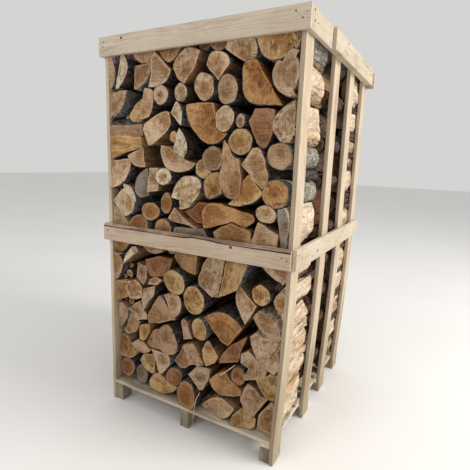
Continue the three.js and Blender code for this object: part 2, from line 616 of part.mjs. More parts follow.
// A thin sliver with a box section along its points, pointed at both ends
function splinter(points) {
  const last = points.length - 1;
  const corners = points.flatMap(([x, y, z], index) => {
    const taper = index === 0 || index === last ? 0.3 : 1;
    const w = (SPLINTER_WIDTH * taper) / 2;
    const t = (SPLINTER_THICKNESS * taper) / 2;
    return [[x - w, y - t, z], [x + w, y - t, z], [x + w, y + t, z], [x - w, y + t, z]];
  });
  const rising = points[last][2] > points[0][2];
  const triangles = [];
  const face = (a, b, c) => triangles.push(...(rising ? [a, b, c] : [a, c, b]));
  for (let section = 0; section < last; section += 1) {
    for (let side = 0; side < 4; side += 1) {
      const a = section * 4 + side;
      const b = section * 4 + ((side + 1) % 4);
      face(a, b, a + 4);
      face(b, b + 4, a + 4);
    }
  }
  const end = last * 4;
  face(0, 2, 1);
  face(0, 3, 2);
  face(end, end + 1, end + 2);
  face(end, end + 2, end + 3);
  const geometry = new THREE.BufferGeometry();
  geometry.setAttribute('position', new THREE.Float32BufferAttribute(corners.flat(), 3));
  geometry.setIndex(triangles);
  return geometry;
}

addPallet();
addSlats();
addMiddleBand();
addTopBand();
addStacks();
addCrosswiseLogs();
for (const [name, points] of Object.entries(SPLINTERS)) addPiece(name, splinter(points), 'splinter');

export default pallet;
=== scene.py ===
"""The looks of a pallet of firewood: a tall slatted crate of sawn boards on a block pallet,
filled with three rows of split and round logs. Everything is in metres in the frame's own
axes: X along the front, -Y out of the front, Z up, with the origin on the ground."""

import logging
import math
from dataclasses import dataclass, field
from enum import Enum
from functools import reduce
from typing import Optional, Union

import bpy
import numpy as np
from mathutils import Matrix, Vector


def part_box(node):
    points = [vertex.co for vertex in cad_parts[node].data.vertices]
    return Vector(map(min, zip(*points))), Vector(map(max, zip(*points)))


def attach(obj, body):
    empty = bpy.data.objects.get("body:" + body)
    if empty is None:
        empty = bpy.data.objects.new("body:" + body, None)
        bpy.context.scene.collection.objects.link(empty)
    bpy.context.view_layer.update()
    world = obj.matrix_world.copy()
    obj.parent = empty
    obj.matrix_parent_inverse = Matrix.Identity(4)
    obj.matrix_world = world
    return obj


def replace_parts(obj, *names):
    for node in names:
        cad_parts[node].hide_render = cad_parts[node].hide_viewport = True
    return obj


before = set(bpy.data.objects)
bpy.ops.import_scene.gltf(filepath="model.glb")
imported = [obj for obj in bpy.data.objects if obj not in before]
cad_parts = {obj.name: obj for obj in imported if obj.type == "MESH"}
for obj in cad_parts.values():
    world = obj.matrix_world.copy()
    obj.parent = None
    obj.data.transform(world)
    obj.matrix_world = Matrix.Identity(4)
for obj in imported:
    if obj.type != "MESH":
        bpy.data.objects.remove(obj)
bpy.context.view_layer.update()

REPORTS = logging.getLogger("firewood")

MM = 0.001
DEPTH_SHIFT = 0.611  # from the slats' front edges to the middle of the crate
ANY_PHASE = 6.28  # how far a wave's random phase may run, about a full turn

Point = tuple[float, float]
Triple = tuple[float, float, float]
Colour = tuple[float, float, float, float]
Level = tuple[int, int, int]  # a colour out of 255
DrawnLog = tuple[Union[str, float, tuple[float, ...]], ...]


# The front log ends, as they look from the eye on a plane just behind the slats' front edges,
# in millimetres. Each has its tone, how far it is set back, and then either a round log's
# centre x, centre z, half width and half height, or points: two numbers end a split face, and
# four end a stretch of bark that bends through the first pair.
UPPER_TIER: tuple[DrawnLog, ...] = (
    # Under the top band
    ("T", 0, (-574, 1888), (-534, 1965, -556, 2072), (-574, 2074)),
    ("W", 0, (-480, 2062), (-462, 2062), (-434, 1985, -497, 1895), (-521, 1891), (-500, 1965)),
    ("T", 6, (-405, 2070), (-345, 2012, -256, 2012), (-252, 2098), (-330, 2120, -405, 2070)),
    ("T", 4, (-391, 2001), (-268, 2000), (-292, 1925, -368, 1879), (-386, 1884)),
    ("P", 0, (-241, 2049), (-149, 1962), (-172, 1915, -222, 1888), (-284, 1885), (-262, 1950),
     (-262, 2025)),
    ("O", 14, (-232, 2066), (-156, 2000, -86, 2062), (-100, 2098), (-215, 2098)),
    ("P", 2, (-131, 1980), (-62, 2052, 36, 2034), (8, 1962), (-55, 1891), (-104, 1925, -131, 1980)),
    ("T", 16, (74, 2068), (130, 2028, 190, 2062), (178, 2106), (90, 2108)),
    ("P", 4, (178, 2030), (228, 2084, 318, 2066), (333, 2005, 296, 1959), (212, 2004)),
    ("Y", 6, (338, 2072), (368, 1985, 441, 1965), (488, 1985, 520, 2032), (496, 2078),
     (420, 2112, 338, 2072)),
    ("P", 4, (71, 1968), (96, 2016, 146, 2021), (190, 2000, 207, 1965), (136, 1897)),
    ("P", 0, 66, 1868, 59, 63),
    ("T", 4, 190, 1850, 60, 67),
    ("O", 2, (338, 1968), (461, 1771), (392, 1777), (305, 1795, 281, 1880), (288, 1950, 338, 1968)),
    ("P", 0, (462, 1944), (478, 1976), (515, 1996, 549, 1968), (549, 1850), (530, 1806, 486, 1808),
     (428, 1862, 421, 1925), (438, 1955, 462, 1944)),
    # Second course
    ("P", 0, (-574, 1872), (-432, 1875), (-470, 1780, -574, 1736)),
    ("Y", 24, (-341, 1842), (-405, 1800, -439, 1745), (-415, 1716, -354, 1718)),
    ("P", 2, (-318, 1884), (-262, 1868, -258, 1826), (-285, 1745, -356, 1726), (-336, 1812)),
    ("K", 2, -209, 1844, 44, 48),
    ("P", 4, -77, 1849, 42, 43),
    ("W", 4, (-108, 1806), (-72, 1765, -79, 1689), (-150, 1755)),
    ("O", 2, (-37, 1786), (40, 1794), (116, 1790), (146, 1690), (197, 1646), (110, 1598, 22, 1650),
     (-24, 1712, -37, 1786)),
    ("W", 0, 184, 1717, 49, 61),
    ("K", 6, 266, 1706, 24, 31),
    ("R", 4, (345, 1757), (439, 1752), (430, 1642), (402, 1584, 362, 1604), (315, 1702)),
    ("P", 0, (523, 1793), (528, 1730), (545, 1642), (503, 1607, 460, 1638), (440, 1712, 523, 1793)),
    # Third course
    ("P", 0, (-327, 1675), (-318, 1700), (-225, 1750), (-170, 1762, -154, 1738),
     (-147, 1695, -176, 1655), (-265, 1595), (-290, 1588, -300, 1610)),
    ("Y", 20, -133, 1634, 29, 30),
    ("W", 0, (-89, 1676), (-38, 1600, -50, 1529), (-119, 1568), (-104, 1632)),
    ("P", 2, (-183, 1588), (-136, 1575), (-50, 1516), (3, 1499), (-52, 1460, -125, 1456),
     (-176, 1495, -183, 1588)),
    ("P", 4, (-440, 1530), (-345, 1577), (-316, 1472), (-388, 1480, -440, 1530)),
    ("T", 2, 118, 1528, 60, 58),
    ("Y", 22, (15, 1500), (50, 1523, 74, 1500), (100, 1462), (55, 1430, 12, 1448)),
    ("O", 12, (150, 1463), (86, 1443, 66, 1385), (96, 1330, 166, 1362), (158, 1405)),
    ("T", 2, (190, 1615), (214, 1590), (236, 1548, 272, 1530), (282, 1450), (276, 1368),
     (215, 1338, 166, 1388), (150, 1432, 172, 1488), (179, 1570)),
    ("Y", 0, 273, 1611, 60, 60),
    ("P", 2, (351, 1581), (392, 1572, 419, 1490), (422, 1430, 391, 1394), (283, 1505)),
    ("Y", 10, (345, 1432), (318, 1458), (281, 1424), (270, 1360), (212, 1311),
     (318, 1316, 397, 1374)),
    ("T", 2, 475, 1548, 60, 59),
    ("O", 0, 463, 1376, 63, 64),
    # Fourth course
    ("P", 0, (-574, 1498), (-430, 1514), (-452, 1398, -574, 1341)),
    ("G", 6, (-302, 1466), (-378, 1410, -397, 1330), (-365, 1303, -302, 1318)),
    ("P", 8, (-300, 1466), (-239, 1467), (-227, 1352), (-298, 1336)),
    ("W", 2, -188, 1427, 47, 44),
    ("W", 4, (-131, 1322), (-82, 1418, 2, 1434), (42, 1408, 36, 1350), (-20, 1278), (-73, 1261),
     (-79, 1312)),
    ("P", 0, 423, 1281, 53, 42),
    ("G", 2, (485, 1309), (549, 1326), (549, 1128), (503, 1126)),
    ("W", 4, (-562, 1268), (-515, 1318), (-480, 1345), (-480, 1372), (-425, 1354),
     (-396, 1300, -407, 1258), (-435, 1205, -495, 1184)),
    ("T", 4, (-574, 1236), (-556, 1232), (-486, 1174), (-450, 1142), (-452, 1090), (-574, 1090)),
    ("O", 10, -290, 1228, 62, 51),
    ("O", 14, -177, 1284, 38, 57),
    ("P", 4, (-163, 1201), (-121, 1265), (-60, 1214), (33, 1170), (-52, 1185), (-140, 1191)),
    ("R", 34, (-62, 1250), (-15, 1268), (20, 1300), (86, 1300), (88, 1194), (10, 1194)),
    # Just above the middle band
    ("O", 8, -379, 1136, 73, 62),
    ("O", 10, -203, 1138, 55, 55),
    ("G", 8, (-110, 1115), (-94, 1163), (64, 1166), (92, 1120), (-10, 1062, -110, 1115)),
    ("O", 6, (93, 1182), (86, 1285, 165, 1309), (340, 1262), (345, 1232, 302, 1203), (238, 1228),
     (178, 1207)),
    ("O", 8, (133, 1160), (180, 1194), (238, 1215), (342, 1188), (348, 1110), (300, 1068),
     (165, 1080)),
    ("T", 4, (355, 1095), (352, 1140), (386, 1240), (492, 1187), (478, 1095)),
)
LOWER_TIER: tuple[DrawnLog, ...] = (
    # Under the middle band
    ("O", 6, (-574, 985), (-520, 962, -457, 1012), (-458, 1062), (-574, 1066)),
    ("W", 0, (-440, 1002), (-406, 1014), (-388, 984), (-480, 899), (-472, 955, -440, 1002)),
    ("T", 14, (-374, 1016), (-285, 985, -192, 1010), (-200, 1062), (-362, 1066)),
    ("R", 4, (-312, 953), (-262, 968), (-222, 984), (-138, 975), (-150, 912), (-186, 868),
     (-272, 857), (-298, 893, -312, 953)),
    ("K", 2, (-391, 918), (-303, 908), (-303, 838), (-322, 797), (-386, 832)),
    ("P", 4, (-316, 793), (-297, 835), (-246, 859), (-198, 845), (-240, 808)),
    ("T", 0, (-574, 958), (-512, 954), (-486, 895, -528, 816), (-548, 790, -574, 784)),
    ("Y", 0, -110, 851, 79, 75),
    ("O", 10, (-132, 990), (-82, 945, -22, 925), (42, 922), (46, 1014), (40, 1062), (-112, 1060)),
    ("P", 0, (205, 1018), (197, 935), (179, 826), (138, 820), (86, 850), (48, 882, 60, 945),
     (74, 992, 98, 1020), (108, 1064), (202, 1064)),
    ("Y", 2, (213, 1014), (203, 945), (187, 827), (256, 864), (292, 886), (314, 940, 334, 1014),
     (330, 1064), (222, 1066)),
    ("P", 2, (300, 906), (277, 830, 342, 712), (399, 820), (352, 856)),
    ("Y", 0, 418, 882, 54, 56),
    ("P", 10, (410, 1022), (475, 975, 548, 950), (548, 1062), (430, 1064)),
    ("Y", 16, (479, 858), (500, 905), (546, 918), (546, 808), (502, 815, 479, 858)),
    ("Y", 0, 22, 773, 73, 84),
    # Second course
    ("O", 4, (-574, 776), (-479, 797), (-475, 740), (-457, 693), (-530, 662), (-574, 652)),
    ("P", 2, (-468, 794), (-400, 813), (-366, 797), (-350, 766), (-353, 705), (-400, 690),
     (-448, 690), (-470, 735)),
    ("P", 4, (-345, 768), (-320, 778), (-262, 796), (-258, 745, -292, 700), (-320, 648),
     (-346, 692)),
    ("P", 2, (-198, 754), (-165, 773), (-90, 778, -59, 735), (-62, 688, -103, 640), (-152, 688)),
    ("T", 2, (-250, 724), (-228, 744, -200, 728), (-99, 632), (-205, 589), (-288, 567),
     (-308, 600, -298, 635)),
    ("T", 8, (-540, 640), (-502, 642), (-467, 600), (-484, 535, -566, 455), (-562, 520)),
    ("P", 4, (-468, 614), (-402, 668), (-360, 694), (-344, 650), (-308, 618), (-312, 583),
     (-396, 557), (-432, 590)),
    ("T", 8, (-463, 590), (-432, 578), (-375, 549), (-391, 490), (-440, 462),
     (-482, 462, -478, 512)),
    ("Y", 4, (-386, 515), (-362, 538), (-288, 560), (-290, 508), (-320, 455), (-346, 438),
     (-376, 440)),
    ("T", 0, (-320, 437), (-284, 512), (-262, 531), (-238, 535), (-165, 582, -95, 520),
     (-72, 465, -95, 428), (-150, 406), (-215, 424), (-290, 415)),
    ("K", 4, (-67, 632), (-42, 656, -18, 645), (-3, 580), (16, 545), (-58, 517)),
    ("Y", 0, 60, 615, 57, 66),
    ("O", 0, (73, 682), (205, 744, 335, 694), (253, 578), (205, 589)),
    ("T", 0, (378, 755), (425, 806, 500, 765), (541, 716), (541, 676), (460, 665, 378, 755)),
    ("P", 0, (367, 655), (400, 672), (533, 662), (543, 488), (500, 492), (414, 540, 367, 655)),
    # Third course
    ("R", 16, (184, 446), (300, 487), (318, 560), (346, 642), (253, 572), (224, 540), (187, 475)),
    ("Y", 4, (76, 498), (106, 556, 147, 526), (181, 482), (164, 446), (112, 412), (89, 450)),
    ("T", 2, (-48, 496), (28, 530), (76, 470), (100, 420), (62, 399), (30, 401), (-6, 378),
     (-62, 342, -122, 372), (-74, 440)),
    ("R", 12, 303, 408, 44, 53),
    ("P", 4, (322, 500), (327, 550), (362, 580), (400, 548), (466, 495), (460, 455), (402, 425),
     (352, 407), (345, 430), (368, 480)),
    ("Y", 6, (406, 430), (460, 452), (482, 478), (530, 478), (530, 354), (470, 352, 406, 430)),
    ("O", 6, (118, 328), (160, 372), (216, 408), (258, 374), (334, 346), (336, 318),
     (228, 278, 150, 293)),
    ("T", 2, (365, 396), (410, 380), (442, 345), (490, 352), (403, 206), (354, 244),
     (326, 300, 365, 396)),
    ("P", 4, (50, 396), (130, 394), (126, 345), (93, 262), (70, 254), (-5, 332)),
    ("P", 2, (-447, 395), (-388, 437), (-345, 430), (-286, 390), (-312, 368),
     (-378, 354, -447, 395)),
    ("O", 12, (-562, 420), (-482, 428), (-448, 392), (-386, 352), (-402, 325), (-450, 298),
     (-562, 288)),
    ("P", 0, (-276, 411), (-155, 402), (-138, 355, -166, 308), (-200, 266), (-222, 262),
     (-250, 355)),
    ("Y", 2, (-372, 308), (-346, 352, -300, 364), (-259, 369), (-246, 262), (-270, 253),
     (-330, 268, -372, 308)),
    # On the deck
    ("R", 18, -488, 219, 57, 62),
    ("G", 12, -363, 212, 48, 64),
    ("Y", 6, (-225, 262), (-165, 228), (-82, 212), (-165, 146, -262, 137), (-302, 158, -292, 214),
     (-262, 252, -225, 262)),
    ("R", 8, -117, 271, 52, 54),
    ("O", -22, -8, 199, 70, 91),
    ("P", 4, (60, 146), (130, 217), (188, 257), (228, 266), (310, 240), (238, 142, 140, 130),
     (96, 128, 60, 146)),
    ("Y", 4, (342, 246), (400, 208), (418, 196), (412, 148, 350, 124), (286, 140, 288, 190)),
    ("T", 10, (503, 330), (519, 310), (518, 156), (430, 158), (434, 235)),
)

# Small round logs that fill the place of the crosswise ones in the back row
CORNER_LOGS: tuple[DrawnLog, ...] = (
    ("T", 0, -508, 1641, 64, 60),
    ("Y", 4, -392, 1655, 50, 48),
    ("P", 2, -455, 1565, 31, 31),
    ("O", 0, -535, 1545, 32, 32),
)

# Thin logs thrown on top, in the dips between the highest ones
TOP_LOGS: tuple[DrawnLog, ...] = (
    ("G", 34, -515, 2067, 30, 31),
    ("G", 42, -421, 2063, 24, 26),
    ("T", 50, -243, 2070, 15, 15),
    ("R", 22, -50, 2093, 40, 36),
    ("G", 40, 36, 2084, 37, 39),
    ("R", 30, 330, 2056, 12, 18),
    ("T", 9, 530, 2044, 24, 52),
)

# Thin round logs wedged in beside the slats, by row: tone, middle, height and radius
WEDGED_LOGS: dict[str, tuple[tuple[str, float, float, float], ...]] = {
    "front": (
        ("P", -460, 837, 27), ("T", -450, 888, 17), ("R", -502, 661, 10), ("T", -542, 645, 9),
        ("T", -460, 659, 24), ("P", -450, 1728, 24), ("T", -516, 1329, 18), ("P", -543, 1331, 9),
        ("P", -498, 813, 16), ("T", -510, 459, 25), ("T", -141, 1031, 30), ("R", 495, 941, 28),
        ("T", 473, 829, 21), ("P", 453, 975, 20), ("T", 507, 799, 18), ("R", 509, 2111, 30),
        ("R", 519, 1463, 27),
    ),
    "middle": (
        ("T", -368, 1173, 62), ("O", -244, 1313, 52), ("P", 34, 1449, 48), ("Y", 102, 789, 46),
        ("R", -98, 1807, 44), ("T", -336, 1438, 42), ("P", 250, 1217, 42), ("G", -140, 1507, 40),
        ("O", -298, 1999, 38), ("T", 366, 267, 38), ("R", -366, 339, 38), ("Y", 358, 1456, 36),
        ("P", 176, 393, 36), ("T", -418, 881, 37), ("O", -282, 1695, 36), ("R", -338, 1915, 34),
        ("T", 44, 1883, 34), ("P", 106, 1779, 32), ("G", 330, 1835, 31), ("Y", 96, 1973, 31),
        ("R", 82, 1603, 31), ("T", 396, 1595, 30), ("P", 200, 925, 30), ("O", -58, 2062, 32),
        ("T", -28, 1879, 28), ("T", -35, 1675, 26), ("P", 12, 1667, 16), ("O", 45, 1629, 13),
        ("P", -175, 1335, 18), ("T", -75, 1479, 16), ("G", -34, 1476, 13), ("G", 503, 2058, 49),
        ("R", 400, 2064, 34), ("R", 505, 1866, 44), ("T", 512, 1624, 38), ("G", 515, 1426, 34),
        ("R", 517, 1150, 34), ("R", 500, 940, 34), ("T", 490, 740, 46), ("G", 494, 552, 40),
        ("R", 470, 283, 50), ("P", -490, 597, 38), ("T", -518, 1821, 31), ("R", 21, 1641, 13),
        ("P", 6, 1886, 9),
    ),
    "back": (
        ("T", 451, 1729, 32), ("P", 529, 1712, 21), ("G", 531, 1319, 21), ("Y", 491, 2007, 20),
        ("G", 515, 1893, 15), ("T", 499, 1337, 14), ("P", 538, 1581, 12), ("T", 465, 1527, 15),
        ("R", 425, 1899, 25), ("T", 493, 459, 28), ("G", 485, 819, 16), ("Y", 439, 849, 38),
        ("O", 451, 659, 28), ("R", 421, 907, 21), ("P", 503, 151, 16), ("T", 515, 273, 12),
        ("G", 504, 2088, 44), ("R", 230, 1531, 54), ("T", -278, 1773, 33), ("Y", 376, 1847, 28),
        ("P", -254, 1935, 33), ("T", -246, 801, 44), ("O", -386, 997, 38), ("G", -156, 783, 38),
        ("P", 336, 963, 34), ("P", -498, 941, 27), ("R", -448, 971, 24), ("T", -530, 789, 21),
        ("Y", -478, 827, 20), ("G", -520, 1463, 30), ("T", -524, 1101, 26), ("R", -5, 1645, 18),
        ("T", 31, 1679, 28), ("T", -69, 1997, 23), ("P", -63, 1951, 21), ("P", 493, 661, 14),
        ("T", 531, 648, 13), ("R", 534, 618, 11), ("P", 507, 803, 11), ("T", 539, 793, 11),
        ("R", 527, 439, 12), ("T", 541, 967, 12), ("P", 493, 283, 10), ("T", 546, 1276, 7),
        ("P", 545, 1494, 7), ("T", 538, 1860, 10), ("R", 536, 478, 10), ("P", 540, 1238, 9),
        ("R", 536, 1511, 12), ("T", 538, 1291, 12), ("P", 540, 1254, 12), ("T", 543, 1345, 8),
        ("P", 541, 1685, 9), ("T", 541, 1880, 11), ("O", 541, 1737, 9), ("P", 543, 1599, 7),
        ("P", -460, 1465, 20),
    ),
}


def srgb(red: int, green: int, blue: int) -> Colour:
    """A colour in linear light.

    Args:
        red: its red out of 255.
        green: its green out of 255.
        blue: its blue out of 255.

    Returns:
        The colour with full alpha.
    """
    share = np.array((red, green, blue), dtype=float) / 255.0
    linear = np.where(share <= 0.04045, share / 12.92, ((share + 0.055) / 1.055) ** 2.4)
    return (float(linear[0]), float(linear[1]), float(linear[2]), 1.0)


class Tone(Enum):
    """Colours of fresh and old firewood, as sRGB out of 255."""

    PALE = (184, 157, 128)
    WHITISH = (200, 182, 154)
    TAN = (166, 137, 108)
    PINKISH = (182, 150, 126)
    ORANGE = (168, 128, 86)
    YELLOW = (184, 152, 108)
    REDDISH = (152, 110, 80)
    GREY = (138, 124, 110)

    def linear(self) -> np.ndarray:
        """The tone in linear light."""
        return np.array(srgb(*self.value)[:3])


TONE_LETTERS = dict(zip("PWTKOYRG", Tone))


class Surface(Enum):
    """What a face of a log shows. The value is its place among a piece's materials."""

    CUT = 0
    SPLIT = 1
    BARK = 2


class BoardSurface(Enum):
    """What a face of a board shows. The value is its place among a piece's materials."""

    SAWN = 0
    STRIP = 1
    # The crease is the dark bark edge with painted shade in the crease under the bark strip.
    CREASE = 2
    # The fourth is painted shade: a darker finish for an edge that faces away from the side key
    # light.
    DULL = 3


class Place(Enum):
    """Which row a log lies in, counted from the front."""

    FRONT = "front"
    MIDDLE = "middle"
    BACK = "back"


# Materials


@dataclass
class Wiring:
    """Lays out the nodes of one material."""

    name: str
    gloss: float = 0.2
    material: bpy.types.Material = field(init=False)

    def __post_init__(self) -> None:
        """Makes the empty material."""
        self.material = bpy.data.materials.new(self.name)
        self.material.use_nodes = True
        self.material.node_tree.nodes.clear()

    def feed(self, socket: bpy.types.NodeSocket, value: object) -> None:
        """Links a socket to another, or sets its own value.

        Args:
            socket: the socket that is fed.
            value: the other socket, or a plain value.
        """
        if isinstance(value, bpy.types.NodeSocket):
            self.material.node_tree.links.new(value, socket)
        else:
            socket.default_value = value

    def node(
        self, kind: str, values: Optional[dict[Union[str, int], object]] = None, **settings: object
    ) -> bpy.types.Node:
        """Adds one node.

        Args:
            kind: Blender's type of the node.
            values: what the sockets get, by their names or places.
            settings: properties of the node by name.

        Returns:
            The new node.
        """
        made = self.material.node_tree.nodes.new(kind)
        for key, value in settings.items():
            setattr(made, key, value)
        for key, value in (values or {}).items():
            self.feed(made.inputs[key], value)
        return made

    def vector(self, operation: str, *values: object) -> bpy.types.NodeSocket:
        """One step of arithmetic on vectors."""
        made = self.node("ShaderNodeVectorMath", dict(enumerate(values)), operation=operation)
        return made.outputs["Value" if operation == "LENGTH" else "Vector"]

    def number(self, operation: str, *values: object) -> bpy.types.NodeSocket:
        """One step of arithmetic on numbers."""
        return self.node("ShaderNodeMath", dict(enumerate(values)), operation=operation).outputs[0]

    def scaled(self, value: object, factor: object) -> bpy.types.NodeSocket:
        """A number times another."""
        return self.number("MULTIPLY", value, factor)

    def total(self, *values: object) -> bpy.types.NodeSocket:
        """The sum of numbers."""
        return reduce(lambda whole, value: self.number("ADD", whole, value), values)

    def parts(self, vector: object) -> bpy.types.NodeOutputs:
        """The three numbers of a vector."""
        return self.node("ShaderNodeSeparateXYZ", {0: vector}).outputs

    def stretched(self, place: object, x: float, y: float, z: float) -> bpy.types.NodeSocket:
        """A place multiplied along each axis, for marks that are longer one way."""
        return self.vector("MULTIPLY", place, (x, y, z))

    def from_pith(self, place: object, operation: str = "LENGTH") -> bpy.types.NodeSocket:
        """The distance of a place from the pith, or with NORMALIZE its direction."""
        return self.vector(operation, self.stretched(place, 1.0, 1.0, 0.0))

    def grain(self) -> bpy.types.NodeSocket:
        """The place in the trunk that is stored on the mesh."""
        return self.node("ShaderNodeAttribute", attribute_name="grain").outputs["Vector"]

    def tint(self, output: str = "Color") -> bpy.types.NodeSocket:
        """The colour stored on the mesh, or its alpha."""
        return self.node("ShaderNodeAttribute", attribute_name="tint").outputs[output]

    def mood(self) -> bpy.types.NodeOutputs:
        """A log's heartwood, age and depth from the rim, or a board's height over the ground."""
        made = self.node("ShaderNodeAttribute", attribute_name="mood")
        return self.parts(made.outputs["Vector"])

    def noise(
        self, vector: object, scale: float = 1.0, detail: float = 2.0, rough: float = 0.5
    ) -> bpy.types.NodeSocket:
        """Smooth noise from 0 to 1.

        Args:
            vector: the place at which it is read.
            scale: how many waves there are in a metre.
            detail: how many finer layers are added.
            rough: how strong the finer layers are.

        Returns:
            The noise's value.
        """
        values = {"Vector": vector, "Scale": scale, "Detail": detail, "Roughness": rough}
        made = self.node("ShaderNodeTexNoise", values)
        return made.outputs["Fac"]

    def uneven(
        self,
        vector: object,
        scale: float,
        strength: object,
        detail: float = 3.0,
        rough: float = 0.6,
    ) -> bpy.types.NodeSocket:
        """Noise around zero.

        Args:
            vector: the place at which it is read.
            scale: how many waves there are in a metre.
            strength: what the noise is multiplied by.
            detail: how many finer layers are added.
            rough: how strong the finer layers are.

        Returns:
            The noise's value.
        """
        made = self.noise(vector, scale, detail, rough)
        centred = self.number("SUBTRACT", made, 0.5)
        return self.scaled(centred, strength)

    def cells(self, vector: object) -> bpy.types.NodeSocket:
        """Distances to the middles of scattered cells."""
        values = {"Vector": vector, "Scale": 1.0}
        return self.node("ShaderNodeTexVoronoi", values).outputs["Distance"]

    def between(
        self,
        value: object,
        low: object,
        high: object,
        out_low: object = 0.0,
        out_high: object = 1.0,
    ) -> bpy.types.NodeSocket:
        """A smooth step.

        Args:
            value: the number that is read.
            low: where the step begins.
            high: where it ends.
            out_low: the result before it.
            out_high: the result after it.

        Returns:
            The stepped number.
        """
        values = dict(enumerate((value, low, high, out_low, out_high)))
        made = self.node("ShaderNodeMapRange", values, interpolation_type="SMOOTHSTEP")
        return made.outputs[0]

    def mixed(
        self, share: object, first: object, second: object, blend: str = "MIX"
    ) -> bpy.types.NodeSocket:
        """Two colours blended.

        Args:
            share: how much of the second shows.
            first: the colour underneath.
            second: the colour on top.
            blend: the way in which they blend.

        Returns:
            The blended colour.
        """
        values = {"Factor": share, 6: first, 7: second}
        made = self.node("ShaderNodeMix", values, data_type="RGBA", blend_type=blend)
        return made.outputs[2]

    def times(self, first: object, second: object) -> bpy.types.NodeSocket:
        """Multiplies a colour.

        Args:
            first: the colour.
            second: another colour, or a number.

        Returns:
            The product.
        """
        if isinstance(second, bpy.types.NodeSocket) and second.type == "VALUE":
            second = self.node("ShaderNodeCombineColor", dict.fromkeys(range(3), second)).outputs[0]
        return self.mixed(1.0, first, second, "MULTIPLY")

    def finished(
        self,
        colour: object,
        roughness: object,
        relief: Optional[object] = None,
        depth: float = 0.001,
        metallic: float = 0.0,
    ) -> bpy.types.Material:
        """Closes the material.

        Args:
            colour: the base colour.
            roughness: the roughness.
            relief: a fine relief from 0 to 1.
            depth: how deep the relief is, in metres.
            metallic: how much of a metal it is.

        Returns:
            The finished material.
        """
        values = {
            "Base Color": colour,
            "Roughness": roughness,
            "Specular IOR Level": self.gloss,
            "Metallic": metallic,
        }
        if relief is not None:
            bump = self.node("ShaderNodeBump", {"Height": relief, "Distance": depth})
            values["Normal"] = bump.outputs[0]
        shader = self.node("ShaderNodeBsdfPrincipled", values)
        self.node("ShaderNodeOutputMaterial", {"Surface": shader.outputs[0]})
        return self.material


@dataclass(frozen=True)
class BoardFinish:
    """Rough sawn softwood boards with straight grain, faint saw marks and a few stains."""

    name: str = "sawn_board"
    light: Level = (205, 192, 173)
    dark: Level = (182, 164, 142)
    stain: Level = (136, 118, 98)
    splashed: Colour = (0.62, 0.60, 0.52, 1.0)
    ring: float = 0.0068
    ring_share: float = 0.30
    stain_start: float = 0.56
    splash: float = 0.8
    relief: float = 0.0008

    # How the marks stretch across, through and along the board
    long: Triple = (1.0, 1.0, 0.22)
    fibres: Triple = (330.0, 330.0, 8.0)
    specks: Triple = (70.0, 70.0, 26.0)
    saw_marks: Triple = (12.0, 12.0, 330.0)

    def material(self) -> bpy.types.Material:
        """Builds the material.

        Returns:
            The finished material.
        """
        w = Wiring(self.name)
        place = w.grain()
        long = w.stretched(place, *self.long)
        radius = w.total(w.from_pith(place), w.uneven(long, 8.0, 0.045))
        late = w.between(w.number("SINE", w.scaled(radius, 2.0 * math.pi / self.ring)), -0.2, 1.0)
        fibres = w.uneven(w.stretched(place, *self.fibres), 1.0, 0.7)
        clouds = w.uneven(long, 17.0, 1.5, 4.0)
        share = w.total(w.scaled(late, self.ring_share), 0.32, clouds, fibres)
        colour = w.mixed(w.between(share, 0.0, 1.0), srgb(*self.light), srgb(*self.dark))
        stain = srgb(*self.stain)
        dirt = w.noise(long, 9.0, 6.0, 0.66)
        dirt = w.between(dirt, self.stain_start, self.stain_start + 0.16)
        colour = w.mixed(w.scaled(dirt, 0.6), colour, stain)
        specks = w.between(w.noise(w.stretched(place, *self.specks)), 0.66, 0.74)
        colour = w.mixed(w.scaled(specks, 0.5), colour, stain)
        splash = w.total(w.mood()[0], w.uneven(long, 5.0, 0.7))
        splash = w.between(splash, 0.05, 0.85, self.splash, 0.0)
        colour = w.times(w.mixed(splash, colour, w.times(colour, self.splashed)), w.tint())
        saw = w.uneven(w.stretched(place, *self.saw_marks), 1.0, 0.6, 1.0)
        relief = w.total(fibres, saw, w.scaled(late, -0.25), w.scaled(specks, -0.3))
        return w.finished(colour, w.total(0.78, w.scaled(clouds, 0.1)), relief, self.relief)


BOARD_FINISHES = {
    BoardSurface.SAWN: BoardFinish(),
    BoardSurface.STRIP: BoardFinish(
        name="bark_strip",
        light=(204, 178, 166),
        dark=(136, 106, 96),
        stain=(84, 62, 54),
        stain_start=0.44,
        relief=0.0025,
    ),
    # Dark bark edge with painted shade in the crease under the bark strip.
    BoardSurface.CREASE: BoardFinish(
        name="bark_crease", light=(84, 58, 48), dark=(50, 34, 30), stain=(36, 26, 24)
    ),
    # Painted shade for the corner post's front edge: the sawn finish made darker.
    BoardSurface.DULL: BoardFinish(
        name="dull_edge", light=(180, 163, 143), dark=(156, 139, 119), stain=(118, 102, 84)
    ),
}
PALLET_FINISH = BoardFinish(
    name="weathered_board",
    light=(166, 158, 146),
    dark=(128, 118, 104),
    stain=(86, 78, 68),
    stain_start=0.48,
    splash=0.0,
    relief=0.0014,
)


